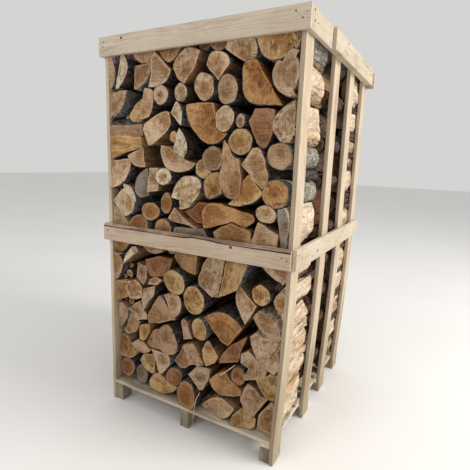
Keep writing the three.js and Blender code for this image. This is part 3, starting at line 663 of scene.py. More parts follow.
@dataclass(frozen=True)
class CutEndFinish:
    """Saw-cut ends of logs: rings, heartwood, streaks left by the saw, stains and cracks."""

    name: str = "log_end"
    ring: float = 0.0046
    roughness: float = 0.84
    relief: float = 0.0016
    spokes: Triple = (6.0, 6.0, 0.0)
    upright_streaks: Triple = (150.0, 22.0, 10.0)
    level_streaks: Triple = (22.0, 150.0, 10.0)
    crack_turns: Triple = (2.0, 2.0, 9.0)
    pale: Colour = (1.24, 1.28, 1.30, 1.0)
    ripe: Colour = (0.60, 0.44, 0.28, 1.0)
    dark: Colour = (0.34, 0.23, 0.15, 1.0)
    crack: Level = (52, 36, 28)

    def _warmth(
        self, w: Wiring, place: object, radius: object, aged: object, heart: object
    ) -> bpy.types.NodeSocket:
        """How brown the wood is at a place, from 0 to 1.

        Args:
            w: the material's nodes.
            place: the place in the trunk.
            radius: the distance from the pith, a little uneven.
            aged: how old the cut looks.
            heart: the heartwood's radius.

        Returns:
            The share of brown.
        """
        seasons = w.uneven(w.total(radius, w.parts(place)[2]), 62.0, 0.8, 2.0, 0.7)
        around = w.from_pith(place, "NORMALIZE")
        spokes = w.vector("ADD", w.stretched(around, *self.spokes), place)
        rays = w.uneven(spokes, 2.4, 1.0, 4.0, 0.7)
        side = w.uneven(place, 8.0, 1.9, 1.0)
        blotch = w.uneven(place, 36.0, w.total(1.0, aged), 5.0, 0.7)
        upright, level = (
            w.uneven(w.stretched(place, *streaks), 1.0, 1.5, 3.0, 0.65)
            for streaks in (self.upright_streaks, self.level_streaks)
        )
        turn = w.between(aged, 0.42, 0.5)
        lying = w.number("SUBTRACT", 1.0, turn)
        streaks = w.total(w.scaled(upright, turn), w.scaled(level, lying))
        edge = w.total(heart, w.uneven(place, 40.0, 0.02))
        ripe = w.between(w.number("SUBTRACT", radius, edge), -0.006, 0.004, 0.34, 0.0)
        return w.total(0.36, ripe, seasons, rays, side, blotch, streaks)

    def _cracks(self, w: Wiring, place: object, aged: object) -> bpy.types.NodeSocket:
        """Where cracks run out from the pith, from 0 to 1.

        Args:
            w: the material's nodes.
            place: the place in the trunk.
            aged: how old the cut looks.

        Returns:
            The share of crack.
        """
        around = w.from_pith(place, "NORMALIZE")
        turn = w.vector("ADD", around, w.stretched(place, *self.crack_turns))
        crack = w.number("ABSOLUTE", w.uneven(turn, 3.1, 1.0, 1.0))
        crack = w.between(crack, 0.002, 0.010, 1.0, 0.0)
        crack = w.scaled(crack, w.between(w.noise(place, 17.0, 1.0), 0.52, 0.62))
        return w.scaled(crack, w.between(aged, 0.2, 0.7, 0.3, 1.0))

    def material(self) -> bpy.types.Material:
        """Builds the material.

        Returns:
            The finished material.
        """
        w = Wiring(self.name)
        place, tint = w.grain(), w.tint()
        heart, aged, depth = w.mood()
        pale, dark = w.times(tint, self.pale), w.times(tint, self.dark)
        middle = w.from_pith(place)
        radius = w.total(middle, w.uneven(place, 24.0, 0.030))
        warmth = self._warmth(w, place, radius, aged, heart)
        colour = w.mixed(w.between(warmth, -0.05, 1.1), pale, w.times(tint, self.ripe))
        grit = w.uneven(place, 150.0, 1.2, 3.0, 0.75)
        rings = w.number("SINE", w.scaled(radius, 2.0 * math.pi / self.ring))
        colour = w.times(colour, w.total(1.0, grit, w.scaled(rings, -0.06)))
        sap = w.between(w.total(depth, w.uneven(place, 40.0, 0.5)), 0.10, 0.40, 0.75, 0.0)
        colour = w.mixed(sap, colour, pale)
        reach = w.total(0.008, w.scaled(aged, 0.014))
        core = w.between(w.total(middle, w.uneven(place, 90.0, 0.014)), 0.001, reach, 0.7, 0.0)
        colour = w.mixed(core, colour, dark)
        stain = w.between(w.noise(place, 34.0, 6.0, 0.74), 0.54, 0.62)
        colour = w.mixed(w.scaled(stain, w.total(0.2, w.scaled(aged, 0.7))), colour, dark)
        rim = w.between(w.total(depth, w.uneven(place, 60.0, 0.16)), 0.0, 0.03, 0.6, 0.0)
        colour = w.mixed(rim, colour, dark)
        crack = self._cracks(w, place, aged)
        colour = w.mixed(w.scaled(crack, 0.75), colour, srgb(*self.crack))
        relief = w.total(w.scaled(grit, 0.5), w.scaled(warmth, -0.5), w.scaled(crack, -1.4))
        return w.finished(colour, self.roughness, relief, self.relief)


@dataclass(frozen=True)
class SplitFaceFinish:
    """Torn faces along a split log: long fibres, ridges and dark streaks."""

    name: str = "split_face"
    roughness: float = 0.86
    relief: float = 0.0042
    fibres: Triple = (240.0, 240.0, 16.0)
    ridges: Triple = (62.0, 62.0, 5.0)
    clouds: Triple = (1.0, 1.0, 0.5)
    patches: Triple = (1.0, 1.0, 0.4)
    pits: Triple = (130.0, 130.0, 80.0)
    patch: Colour = (0.74, 0.55, 0.38, 1.0)
    dark: Colour = (0.40, 0.28, 0.19, 1.0)

    def material(self) -> bpy.types.Material:
        """Builds the material.

        Returns:
            The finished material.
        """
        w = Wiring(self.name)
        place, tint, aged = w.grain(), w.tint(), w.mood()[1]
        dark = w.times(tint, self.dark)
        fibres = w.uneven(w.stretched(place, *self.fibres), 1.0, 1.5, 4.0, 0.68)
        ridges = w.noise(w.stretched(place, *self.ridges), 1.0, 4.0, 0.6)
        clouds = w.uneven(w.stretched(place, *self.clouds), 20.0, 1.6, 4.0)
        ridged = w.scaled(w.number("SUBTRACT", ridges, 0.5), 1.6)
        colour = w.times(tint, w.total(1.04, fibres, ridged, clouds))
        patch = w.noise(w.stretched(place, *self.patches), 13.0, 4.0, 0.6)
        patch = w.scaled(w.between(patch, 0.48, 0.62), w.total(0.3, w.scaled(aged, 0.5)))
        colour = w.mixed(patch, colour, w.times(colour, self.patch))
        colour = w.mixed(w.between(ridges, 0.28, 0.42, 0.6, 0.0), colour, dark)
        pits = w.noise(w.stretched(place, *self.pits), 1.0, 3.0, 0.7)
        pits = w.between(pits, 0.54, 0.62)
        colour = w.mixed(w.scaled(pits, 0.62), colour, dark)
        relief = w.total(w.scaled(fibres, 0.4), ridges, w.scaled(pits, -0.25))
        return w.finished(colour, self.roughness, relief, self.relief)


@dataclass(frozen=True)
class BarkFinish:
    """Bark, with patches of lichen and moss.

    The kind stored on the mesh runs from russet below 0 over rough and dark brown at 0 to smooth
    and silver at 1, a painted sunlit copy just above it, and a paler painted lit copy from 1.5.
    """

    name: str = "bark"
    roughness: float = 0.88
    relief: float = 0.007
    furrows: Triple = (90.0, 90.0, 26.0)
    plates: Triple = (58.0, 58.0, 24.0)
    russet: tuple[Level, Level] = ((40, 27, 20), (112, 84, 65))
    rough: tuple[Level, Level] = ((27, 24, 24), (98, 86, 80))
    smooth: tuple[Level, Level] = ((58, 59, 61), (136, 139, 140))
    # Painted light: the sunlit colours and the paler ones after them are lighter copies of the bark
    # for logs lit through the right slats.
    sunlit: tuple[Level, Level] = ((86, 82, 72), (168, 162, 147))
    bleached: tuple[Level, Level] = ((74, 52, 42), (190, 162, 136))
    brown: Level = (96, 66, 50)
    lichen: Level = (170, 176, 168)
    moss: Level = (84, 86, 58)
    sawn: Level = (44, 34, 28)

    def material(self) -> bpy.types.Material:
        """Builds the material.

        Returns:
            The finished material.
        """
        w = Wiring(self.name)
        place, kind = w.grain(), w.tint("Alpha")
        furrow = w.noise(w.stretched(place, *self.furrows), 1.0, 5.0, 0.65)
        plates = w.cells(w.stretched(place, *self.plates))
        height = w.total(furrow, w.scaled(plates, -0.32))
        steps = {
            "russet": (self.russet, height, 0.16, 0.52),
            "rough": (self.rough, height, 0.16, 0.52),
            "smooth": (self.smooth, furrow, 0.34, 0.66),
            "sunlit": (self.sunlit, furrow, 0.34, 0.60),
            "bleached": (self.bleached, height, 0.12, 0.44),
        }
        kinds = {
            name: w.mixed(w.between(*step), srgb(*dark), srgb(*light))
            for name, ((dark, light), *step) in steps.items()
        }
        rough = w.mixed(w.between(kind, -0.1, 0.05), kinds["russet"], kinds["rough"])
        smooth = w.mixed(w.between(kind, 1.0, 1.08), kinds["smooth"], kinds["sunlit"])
        share = w.between(w.total(kind, w.uneven(place, 18.0, 0.8, 5.0)), 0.5, 0.8)
        colour = w.mixed(share, rough, smooth)
        patch = w.between(w.noise(place, 18.0, 5.0, 0.62), 0.50, 0.62)
        colour = w.mixed(w.scaled(patch, 0.45), colour, srgb(*self.brown))
        # Painted light: the paler lit copy of the bark from 1.2 on.
        colour = w.mixed(w.between(kind, 1.2, 1.5), colour, kinds["bleached"])
        lichen = w.between(w.noise(place, 46.0, 4.0, 0.66), 0.57, 0.64)
        smoothness = w.between(w.number("PINGPONG", kind, 1.0), 0.2, 0.9, 0.1, 0.75)
        colour = w.mixed(w.scaled(lichen, smoothness), colour, srgb(*self.lichen))
        moss = w.scaled(w.between(w.noise(place, 8.0, 3.0), 0.56, 0.68), 0.4)
        colour = w.mixed(moss, colour, srgb(*self.moss))
        sawn = w.between(w.mood()[2], 0.0, 0.05, 0.0, 0.6)
        colour = w.mixed(sawn, colour, srgb(*self.sawn))
        relief = w.total(furrow, w.scaled(plates, -0.5))
        return w.finished(colour, self.roughness, relief, self.relief)


@dataclass(frozen=True)
class KnotFinish:
    """Knots in the sawn boards, brown with tight rings."""

    name: str = "knot"
    roughness: float = 0.7
    relief: float = 0.0004
    ring_waves: float = 2600.0
    dark: Level = (112, 78, 52)
    light: Level = (150, 112, 78)
    heart: Level = (56, 40, 30)

    def material(self) -> bpy.types.Material:
        """Builds the material.

        Returns:
            The finished material.
        """
        w = Wiring(self.name)
        place = w.grain()
        radius = w.total(w.from_pith(place), w.uneven(place, 90.0, 0.006))
        rings = w.between(w.number("SINE", w.scaled(radius, self.ring_waves)), -1.0, 1.0)
        colour = w.mixed(rings, srgb(*self.dark), srgb(*self.light))
        colour = w.mixed(w.between(radius, 0.002, 0.006, 0.75, 0.0), colour, srgb(*self.heart))
        return w.finished(colour, self.roughness, rings, self.relief)


@dataclass(frozen=True)
class NailFinish:
    """Dull steel nail heads with a little rust."""

    name: str = "nail_head"
    steel: Level = (72, 68, 66)
    rust: Level = (96, 62, 44)
    metallic: float = 0.6
    relief: float = 0.0003

    def material(self) -> bpy.types.Material:
        """Builds the material.

        Returns:
            The finished material.
        """
        w = Wiring(self.name)
        rust = w.between(w.noise(w.grain(), 260.0, 3.0), 0.42, 0.6)
        colour = w.mixed(rust, srgb(*self.steel), srgb(*self.rust))
        roughness = w.total(0.45, w.scaled(rust, 0.4))
        return w.finished(colour, roughness, rust, self.relief, self.metallic)


@dataclass(frozen=True)
class FloorFinish:
    """The plain pale floor."""

    name: str = "floor"
    roughness: float = 0.9
    tones: Point = (0.80, 0.84)
    pale: Level = (255, 254, 252)

    def material(self) -> bpy.types.Material:
        """Builds the material.

        Returns:
            The finished material.
        """
        w = Wiring(self.name)
        place = w.node("ShaderNodeTexCoord").outputs["Object"]
        tone = w.between(w.noise(place, 0.9), 0.0, 1.0, *self.tones)
        return w.finished(w.times(srgb(*self.pale), tone), self.roughness)


# Meshes


@dataclass
class Skin:
    """A closed body: rings of points from a tip at one end to a tip at the other.

    The rings run anticlockwise when they are looked at from the first end.
    """

    first: np.ndarray
    rings: np.ndarray
    last: np.ndarray
    surfaces: np.ndarray
    mirrored: bool = False

    def points(self) -> np.ndarray:
        """Every point, the two tips at the end."""
        return np.concatenate([self.rings.reshape(-1, 3), self.first[None], self.last[None]])

    def faces(self) -> list[tuple[np.ndarray, np.ndarray]]:
        """The faces, in groups with equally many corners.

        Returns:
            For each group the numbers of the corners, and what the faces show.
        """
        ring_count, count = self.rings.shape[:2]
        here = np.arange(count)
        after = (here + 1) % count
        starts = np.arange(ring_count - 1)[:, None] * count
        corners = (starts + here, starts + count + here, starts + count + after, starts + after)
        quads = np.stack(corners, axis=2).reshape(-1, 4)
        tip = ring_count * count
        end = tip - count
        opening = np.stack([np.full(count, tip), here, after], axis=1)
        closing = np.stack([np.full(count, tip + 1), end + after, end + here], axis=1)
        fans = np.concatenate([opening, closing])
        if self.mirrored:
            quads, fans = quads[:, ::-1], fans[:, ::-1]
        fan_surfaces = np.concatenate([self.surfaces[0], self.surfaces[-1]])
        return [(quads, self.surfaces.ravel()), (fans, fan_surfaces)]


@dataclass
class PieceMesh:
    """Gathers the bodies of one piece, with what its finishes have to know of each point."""

    points: list[np.ndarray] = field(default_factory=list)
    grains: list[np.ndarray] = field(default_factory=list)
    tints: list[np.ndarray] = field(default_factory=list)
    moods: list[np.ndarray] = field(default_factory=list)
    faces: list[tuple[np.ndarray, np.ndarray]] = field(default_factory=list)
    count: int = 0

    def add(self, skin: Skin, grain: np.ndarray, tint: np.ndarray, mood: np.ndarray) -> None:
        """Adds one closed body.

        Args:
            skin: the body.
            grain: each point's place in the trunk, with the third number along it.
            tint: the colour of each point or of all, with the kind of bark as alpha.
            mood: heartwood, age and depth from the rim, for each point or for all.
        """
        points = skin.points()
        self.points.append(points)
        self.grains.append(grain)
        self.tints.append(np.broadcast_to(tint, (len(points), 4)))
        self.moods.append(np.broadcast_to(mood, (len(points), 3)))
        for corners, surfaces in skin.faces():
            self.faces.append((corners + self.count, surfaces))
        self.count += len(points)

    def build(
        self, name: str, materials: list[bpy.types.Material], slot: str, sharp: float = 40.0
    ) -> bpy.types.Object:
        """Makes the Blender object.

        Args:
            name: the object's name.
            materials: its materials, in the order of the faces' surfaces.
            slot: the name of a material slot; it is not used.
            sharp: the angle in degrees over which an edge stays sharp.

        Returns:
            The new object.
        """
        mesh = bpy.data.meshes.new(name)
        points = np.concatenate(self.points)
        loops = np.concatenate([corners.ravel() for corners, _ in self.faces])
        totals = np.concatenate([np.full(len(c), c.shape[1]) for c, _ in self.faces])
        surfaces = np.concatenate([s for _, s in self.faces])
        starts = np.concatenate(([0], np.cumsum(totals)[:-1]))
        mesh.vertices.add(len(points))
        mesh.vertices.foreach_set("co", points.astype(np.float32).ravel())
        mesh.loops.add(len(loops))
        mesh.loops.foreach_set("vertex_index", loops.astype(np.int32))
        mesh.polygons.add(len(totals))
        mesh.polygons.foreach_set("loop_start", starts.astype(np.int32))
        mesh.polygons.foreach_set("loop_total", totals.astype(np.int32))
        mesh.polygons.foreach_set("material_index", surfaces.astype(np.int32))
        mesh.polygons.foreach_set("use_smooth", np.ones(len(totals), dtype=bool))
        mesh.update(calc_edges=True)
        for material in materials:
            mesh.materials.append(material)
        for key, kind, field_name, values in (
            ("grain", "FLOAT_VECTOR", "vector", self.grains),
            ("mood", "FLOAT_VECTOR", "vector", self.moods),
            ("tint", "FLOAT_COLOR", "color", self.tints),
        ):
            stored = mesh.attributes.new(key, kind, "POINT")
            stored.data.foreach_set(field_name, np.concatenate(values).astype(np.float32).ravel())
        mesh.validate()
        mesh.set_sharp_from_angle(angle=math.radians(sharp))
        made = bpy.data.objects.new(name, mesh)
        bpy.context.scene.collection.objects.link(made)
        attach(made, "root")
        return made


@dataclass
class Ripple:
    """An uneven height over a surface, from a few waves whose phases a seed sets."""

    random: np.random.Generator
    around: float
    along: float
    height: float
    waves: int = 5
    around_spread: Point = (0.6, 1.7)
    along_spread: Point = (0.5, 1.6)

    def over(self, around: np.ndarray, along: np.ndarray) -> np.ndarray:
        """Heights at places.

        Args:
            around: distance round the piece.
            along: distance along it.

        Returns:
            The heights, in the same unit as height.
        """
        total = np.zeros(np.broadcast(around, along).shape)
        for _ in range(self.waves):
            across = 2 * math.pi / self.around * self.random.uniform(*self.around_spread)
            down = 2 * math.pi / self.along * self.random.uniform(*self.along_spread)
            phase, turn = self.random.uniform(0, 2 * math.pi, 2)
            total = total + np.sin(across * around + phase) * np.sin(down * along + turn)
        return total * self.height / math.sqrt(self.waves)


def distances(line: np.ndarray) -> np.ndarray:
    """How far the points of a closed line lie along it."""
    spans = np.linalg.norm(np.roll(line, -1, axis=0) - line, axis=1)
    return np.concatenate(([0.0], np.cumsum(spans)[:-1]))


def in_frame(places: np.ndarray) -> np.ndarray:
    """Places in mm, counted from the slats' front edges, as metres in the frame."""
    return places * MM - np.array([0.0, DEPTH_SHIFT, 0.0])


# The drawn log ends


@dataclass(frozen=True)
class Crate:
    """Sizes of the crate that the logs have to fit, in mm."""

    deck_top: float = 130.0
    inner_face: float = 553.0
    pallet_inset: float = 34.7
    lean_power: float = 1.6
    lean_steps: int = 5
    middle_band: float = 1039.0
    tier_split: float = 1069.0
    height: float = 2150.0
    depth: float = 1222.0
    gap: float = 0.3

    def lean(self, z: np.ndarray) -> np.ndarray:
        """How far the right slats stand inside their upright line.

        Args:
            z: heights over the ground.

        Returns:
            The distance at each height.
        """
        share = np.clip((self.middle_band - z) / (self.middle_band - self.deck_top), 0.0, 1.0)
        knots = np.arange(self.lean_steps + 1)
        insets = self.pallet_inset * (knots / self.lean_steps) ** self.lean_power
        return np.interp(share * self.lean_steps, knots, insets)

    def right(self, z: np.ndarray) -> np.ndarray:
        """The inner face of the right slats at a height."""
        return self.inner_face - self.lean(z) - self.gap

    @property
    def left(self) -> float:
        """The inner face of the left slats."""
        return -self.inner_face + self.gap


@dataclass(frozen=True)
class Eye:
    """Where the log ends were drawn from, and how the face of the stack stands, in mm."""

    x: float = 1163.0
    y: float = -1605.0
    z: float = 1518.0
    plane: float = 25.0
    top_depth: float = 3.0
    bottom_depth: float = 30.0
    turn: float = 1000.0
    floor: float = Crate.deck_top

    def face_depth(self, z: np.ndarray) -> np.ndarray:
        """How deep the face of the stack stands at a height."""
        share = np.clip((self.turn - z) / (self.turn - self.floor), 0.0, 1.0)
        return self.top_depth + (self.bottom_depth - self.top_depth) * share

    def real(self, drawn: np.ndarray) -> np.ndarray:
        """Real places in the stack's face.

        Args:
            drawn: points drawn on the plane.

        Returns:
            The places that they stand for.
        """
        scale = (self.face_depth(drawn[:, 1]) - self.y) / (self.plane - self.y)
        middle = np.array([self.x, self.z])
        return middle + (drawn - middle) * scale[:, None]


@dataclass
class Outline:
    """A closed line round a log, anticlockwise seen from the front, in mm."""

    points: np.ndarray
    bark: np.ndarray
    pith: np.ndarray

    def turned(self) -> "Outline":
        """The same outline in the other direction."""
        return Outline(self.points[::-1].copy(), np.roll(self.bark[::-1], -1), self.pith)

    def area(self) -> float:
        """The area inside, positive when the line runs anticlockwise."""
        x, z = self.points.T
        return float(np.sum(x * np.roll(z, -1) - np.roll(x, -1) * z)) / 2

    def middle(self) -> np.ndarray:
        """The middle of the area inside.

        Returns:
            Its two coordinates.
        """
        x, z = self.points.T
        cross = x * np.roll(z, -1) - np.roll(x, -1) * z
        twice = 3 * cross.sum()
        return np.array([
            ((x + np.roll(x, -1)) * cross).sum() / twice,
            ((z + np.roll(z, -1)) * cross).sum() / twice,
        ])

    def normals(self) -> np.ndarray:
        """Outward directions.

        Returns:
            One direction for each point.
        """
        along = np.roll(self.points, -1, axis=0) - np.roll(self.points, 1, axis=0)
        along /= np.maximum(np.linalg.norm(along, axis=1), 1e-6)[:, None]
        return np.stack([along[:, 1], -along[:, 0]], axis=1)

    def ease(
        self,
        touching: np.ndarray,
        inward: float,
        bulge: float,
        bark: bool,
        axis: int = 0,
        most: float = 28.0,
        shortest: float = 14.0,
        roundness: float = 2.2,
    ) -> None:
        """Rounds the flat stretch that leans against a wall or lies on top.

        Args:
            touching: which points lie on the flat stretch.
            inward: the direction into the log, 1 or -1.
            bulge: how far the stretch's ends draw back, as a share of its length.
            bark: whether bark shows there.
            axis: 0 for a wall and 1 for the top.
            most: how far the ends may draw back.
            shortest: the length under which the stretch stays flat.
            roundness: how late the curve begins.
        """
        if touching.sum() < 3:
            return
        run = self.points[touching, 1 - axis]
        low, high = run.min(), run.max()
        if high - low < shortest:
            return
        turn = np.abs(2 * (run - low) / (high - low) - 1)
        self.points[touching, axis] += inward * min(most, bulge * (high - low)) * turn**roundness
        if bark:
            self.bark |= touching & np.roll(touching, -1)

    def unfolded(
        self, passes: int = 8, sharpest: float = -0.75, nearest: float = 0.3, fewest: int = 8
    ) -> "Outline":
        """The same outline without the points where it turns back on itself.

        Args:
            passes: how often folded points are looked for.
            sharpest: the least cosine of a turn that is kept.
            nearest: how near each other two points may lie.
            fewest: how many points have to be left.

        Returns:
            The outline.
        """
        points, bark = self.points, self.bark
        for _ in range(passes):
            before = points - np.roll(points, 1, axis=0)
            after = np.roll(points, -1, axis=0) - points
            sizes = np.linalg.norm(before, axis=1), np.linalg.norm(after, axis=1)
            turn = (before * after).sum(axis=1) / np.maximum(sizes[0] * sizes[1], 1e-6)
            good = (turn > sharpest) & (sizes[0] > nearest)
            if good.all() or good.sum() < fewest:
                break
            points, bark = points[good], bark[good]
        return Outline(points, bark, self.pith)


def circle_middle(first: np.ndarray, second: np.ndarray, third: np.ndarray) -> np.ndarray:
    """The middle of the circle through three points.

    Args:
        first: the first point.
        second: the second point.
        third: the third point.

    Returns:
        The middle, or the middle of the outer points where the three lie in line.
    """
    (ax, az), (bx, bz), (cx, cz) = first, second, third
    twice = 2 * (ax * (bz - cz) + bx * (cz - az) + cx * (az - bz))
    if abs(twice) < 1e-3:
        return (first + third) / 2
    a, b, c = ax * ax + az * az, bx * bx + bz * bz, cx * cx + cz * cz
    return np.array([
        (a * (bz - cz) + b * (cz - az) + c * (az - bz)) / twice,
        (a * (cx - bx) + b * (ax - cx) + c * (bx - ax)) / twice,
    ])


ROUND_LOBES = (2, 3, 5)
ROUND_UNEVEN = 0.024  # the most that one set of lobes adds, as a share of the radius
ROUND_POINTS = 20  # the fewest in a round outline
PITH_OFF_CENTRE = 0.14  # the most, as a share of half the width and of half the height
SHORTEST_STRETCH = 1.0  # in mm, of a drawn outline


def round_outline(
    x: float, z: float, half: np.ndarray, step: float, random: np.random.Generator
) -> Outline:
    """A round log's outline, a little uneven.

    Args:
        x: its middle.
        z: its middle's height.
        half: half its width and half its height.
        step: distance between the outline's points.
        random: source of its uneven shape.

    Returns:
        The outline.
    """
    count = max(ROUND_POINTS, round(math.pi * half.sum() / step))
    angle = 2 * math.pi * np.arange(count) / count
    uneven = 1.0 + sum(
        random.uniform(-ROUND_UNEVEN, ROUND_UNEVEN)
        * np.sin(lobes * angle + random.uniform(0, ANY_PHASE))
        for lobes in ROUND_LOBES
    )
    circle = np.stack([np.cos(angle), np.sin(angle)], axis=1) * uneven[:, None]
    middle = np.array([x, z])
    pith = middle + random.uniform(-PITH_OFF_CENTRE, PITH_OFF_CENTRE, 2) * half
    return Outline(middle + circle * half, np.ones(count, dtype=bool), pith)


def drawn_outline(log: DrawnLog, step: float, random: np.random.Generator) -> Outline:
    """Turns one line of the table into a fine outline, as drawn.

    Args:
        log: the table's line.
        step: distance between the outline's points.
        random: source of the round logs' uneven shape.

    Returns:
        The outline.
    """
    if isinstance(log[2], (int, float)):
        return round_outline(log[2], log[3], np.array(log[4:6], dtype=float), step, random)
    here = np.array(log[2], dtype=float)
    points: list[np.ndarray] = []
    bark: list[bool] = []
    pith, longest = None, 0.0
    for part in log[3:] + (log[2],):
        end = np.array(part[-2:], dtype=float)
        through = np.array(part[:2], dtype=float) if len(part) == 4 else (here + end) / 2
        length = float(np.linalg.norm(through - here) + np.linalg.norm(end - through))
        if length < SHORTEST_STRETCH:
            continue
        count = max(1, round(length / step))
        share = np.arange(count)[:, None] / count
        left = 1 - share
        control = 2 * through - (here + end) / 2
        points.extend(left**2 * here + 2 * share * left * control + share**2 * end)
        bark.extend([len(part) == 4] * count)
        if len(part) == 4 and length > longest:
            longest, pith = length, circle_middle(here, through, end)
        here = end
    made = Outline(np.array(points), np.array(bark), here)
    made.pith = made.middle() if pith is None else pith
    return made if made.area() > 0 else made.turned()


@dataclass
class LogBody:
    """One log: an outline carried along its length, uneven, tapered and cut off at both ends."""

    outline: Outline
    start: float
    end: float
    tone: Tone
    random: np.random.Generator
    limits: Optional[Crate] = None
    crosswise: bool = False
    rise: float = 0.0
    spacing: float = 42.0
    relief: float = 1.0
    # How far the sides blend towards the pale torn colour; for logs lit through the right slats
    # this is a painted lit copy.
    fresh: float = 0.0
    # How dark the wood is: the tier's damper wood, and painted shade for logs deep in the stack or
    # wedged into gaps.
    shade: float = 1.0
    bark_kind: Point = (0.0, 1.0)
    rim: float = 3.4
    rings: tuple[float, ...] = (0.2, 0.5, 0.78)
    reach: Point = (-21.4, Crate.depth + 21.4)
    rim_reach: float = 30.0
    # The sides are darker and redder than the ends: partly weathered wood, partly painted shade for
    # the gaps between logs.
    weathered: Triple = (0.70, 0.60, 0.52)
    torn: Triple = (0.68, 0.56, 0.42)
    tilt: float = 0.11
    most_tilt: float = 0.2
    tilt_reach: float = 0.4
    shoulder: float = 0.018
    inner: Point = (0.07, 0.93)

    clearance: float = 1.0
    over_deck: float = 0.5
    under_top: float = 4.0
    steepness: float = 2.0
    drawn_in: float = 1.2
    start_drawn_in: float = 0.6
    relief_shares: Point = (0.45, 0.55)
    tapers: Point = (-0.012, 0.05)
    bows: Point = (-4.0, 4.0)
    split_rim: float = 1.5
    most_rim: float = 0.18
    rim_share: float = 0.99
    least_heart: float = 0.3
    hearts: Point = (0.45, 0.92)
    shades: Point = (0.88, 1.12)
    warmths: Point = (-0.05, 0.05)
    shifts: Point = (-40.0, 40.0)

    # Ripples: their lengths round and along the log, and their height
    lumps: Triple = (90.0, 190.0, 3.0)
    furrows: Triple = (17.0, 80.0, 1.0)
    tears: Triple = (17.0, 500.0, 2.1)
    waves: Point = (110.0, 330.0)
    wave_height: float = 4.0
    saw_marks: Triple = (70.0, 70.0, 1.1)

    def _held(self, flat: np.ndarray) -> np.ndarray:
        """Keeps points between the slats and over the deck.

        Args:
            flat: points across the log.

        Returns:
            The points, moved where they have to be.
        """
        if self.limits is None:
            return flat
        lowest = self.limits.deck_top + self.over_deck
        height = np.clip(flat[..., 1], lowest, self.limits.height - self.under_top)
        left, right = self.limits.left + self.clearance, self.limits.right(height) - self.clearance
        return np.stack([np.clip(flat[..., 0], left, right), height], axis=-1)

    def _sides(self) -> tuple[np.ndarray, np.ndarray]:
        """The log's sides.

        Returns:
            The flat points of every station, and each station's distance along the log.
        """
        line, normals = self.outline.points, self.outline.normals()
        middle = self.outline.middle()
        length = self.end - self.start
        inner_length = (self.inner[1] - self.inner[0]) * length
        inner = np.linspace(*self.inner, max(5, round(inner_length / self.spacing)))
        share = np.concatenate(([0.0, self.shoulder], inner, [1.0 - self.shoulder, 1.0]))
        along = self.start + share * length
        bark = self.outline.bark | np.roll(self.outline.bark, 1)
        places = (distances(line)[None, :], along[:, None])
        lumps = Ripple(self.random, *self.lumps).over(*places)
        furrows = Ripple(self.random, *self.furrows).over(*places)
        tears = Ripple(self.random, *self.tears).over(*places)
        waves = Ripple(self.random, *self.waves, self.wave_height * self.relief).over(*places)
        relief = np.where(bark[None, :], lumps + furrows, tears + waves)
        inward = np.minimum(np.sin(np.pi * share) * self.steepness, 1.0)[:, None]
        at_start = self.start_drawn_in * (share[:, None] == 0)
        at_ends, added = self.relief_shares
        relief = relief * (at_ends + added * inward) - self.drawn_in * np.maximum(inward, at_start)
        taper = 1.0 - self.random.uniform(*self.tapers) * share
        bow = self.random.uniform(*self.bows, 2)
        flat = middle + (line - middle)[None] * taper[:, None, None]
        flat = flat + normals[None] * relief[..., None]
        flat = flat + np.sin(np.pi * share)[:, None, None] * bow
        if self.rise:
            top = line[:, 1].max()
            flat[..., 1] = top - (top - flat[..., 1]) * (1 - self.rise * share[:, None])
        return self._held(flat), along

    def _cap(
        self, edge: np.ndarray, along: float, tilt: np.ndarray
    ) -> tuple[np.ndarray, np.ndarray]:
        """The rings of one sawn end, from its middle outwards.

        Args:
            edge: the flat points of the log's end.
            along: where the end lies along the log.
            tilt: how much the saw cut leans in both directions.

        Returns:
            Rows of flat places with the distance along the log, and their depths from the rim.
        """
        middle = edge.mean(axis=0)
        reach = np.linalg.norm(edge - middle, axis=1)
        inset = np.where(self.outline.bark, self.rim, self.split_rim)
        inset = np.minimum(inset, reach * self.most_rim)
        shares = [np.full(len(edge), share) for share in self.rings]
        shares = np.stack(shares + [1 - inset / np.maximum(reach, 1.0), np.ones(len(edge))])
        flat = middle + (edge - middle)[None] * shares[..., None]
        depth = along + (flat - middle) @ tilt
        saw = Ripple(self.random, *self.saw_marks).over(flat[..., 0], flat[..., 1])
        depth = depth + saw * (shares < self.rim_share)
        from_rim = np.clip(reach[None] * (1 - shares) / self.rim_reach, 0.0, 1.0)
        return np.concatenate([flat, depth[..., None]], axis=-1), from_rim

    def _placed(self, local: np.ndarray) -> np.ndarray:
        """Places in the frame, from flat points with their distances along the log."""
        x, z, along = np.moveaxis(local, -1, 0)
        return in_frame(np.stack((along, -x, z) if self.crosswise else (x, along, z), axis=-1))

    def _heart(self) -> float:
        """The radius of the darker heartwood.

        Returns:
            The radius in metres.
        """
        line = self.outline.points
        if self.outline.bark.any():
            line = line[self.outline.bark]
        reach = float(np.linalg.norm(line - self.outline.pith, axis=1).mean())
        return max(self.least_heart * reach, reach * self.random.uniform(*self.hearts)) * MM

    def _surfaces(self, stations: int) -> np.ndarray:
        """What each face shows.

        Args:
            stations: how many rings of points the sides have.

        Returns:
            One row for each step from ring to ring.
        """
        bark = self.outline.bark
        cut = np.full(len(bark), Surface.CUT.value)
        end = [cut] * len(self.rings) + [np.where(bark, Surface.BARK.value, cut)]
        side = np.where(bark, Surface.BARK.value, Surface.SPLIT.value)
        return np.array(end + [side] * (stations - 1) + end[::-1])

    def _tint(self, depths: np.ndarray) -> np.ndarray:
        """The colours of the log.

        Args:
            depths: each point's depth from the rim, which is 0 on the sides.

        Returns:
            Each point's colour.
        """
        shade = self.shade * self.random.uniform(*self.shades)
        warm = self.random.uniform(*self.warmths)
        end = self.tone.linear() * shade * (1 + warm, 1, 1 - warm)
        # Sides are darker than the ends, partly weathered wood and partly painted shade for the
        # gaps between logs; the fresh share blends them to the pale torn colour, a painted lit copy
        # for logs lit through the right slats.
        weathered = end * self.weathered
        return np.where(depths > 0, end, weathered + (np.array(self.torn) - weathered) * self.fresh)

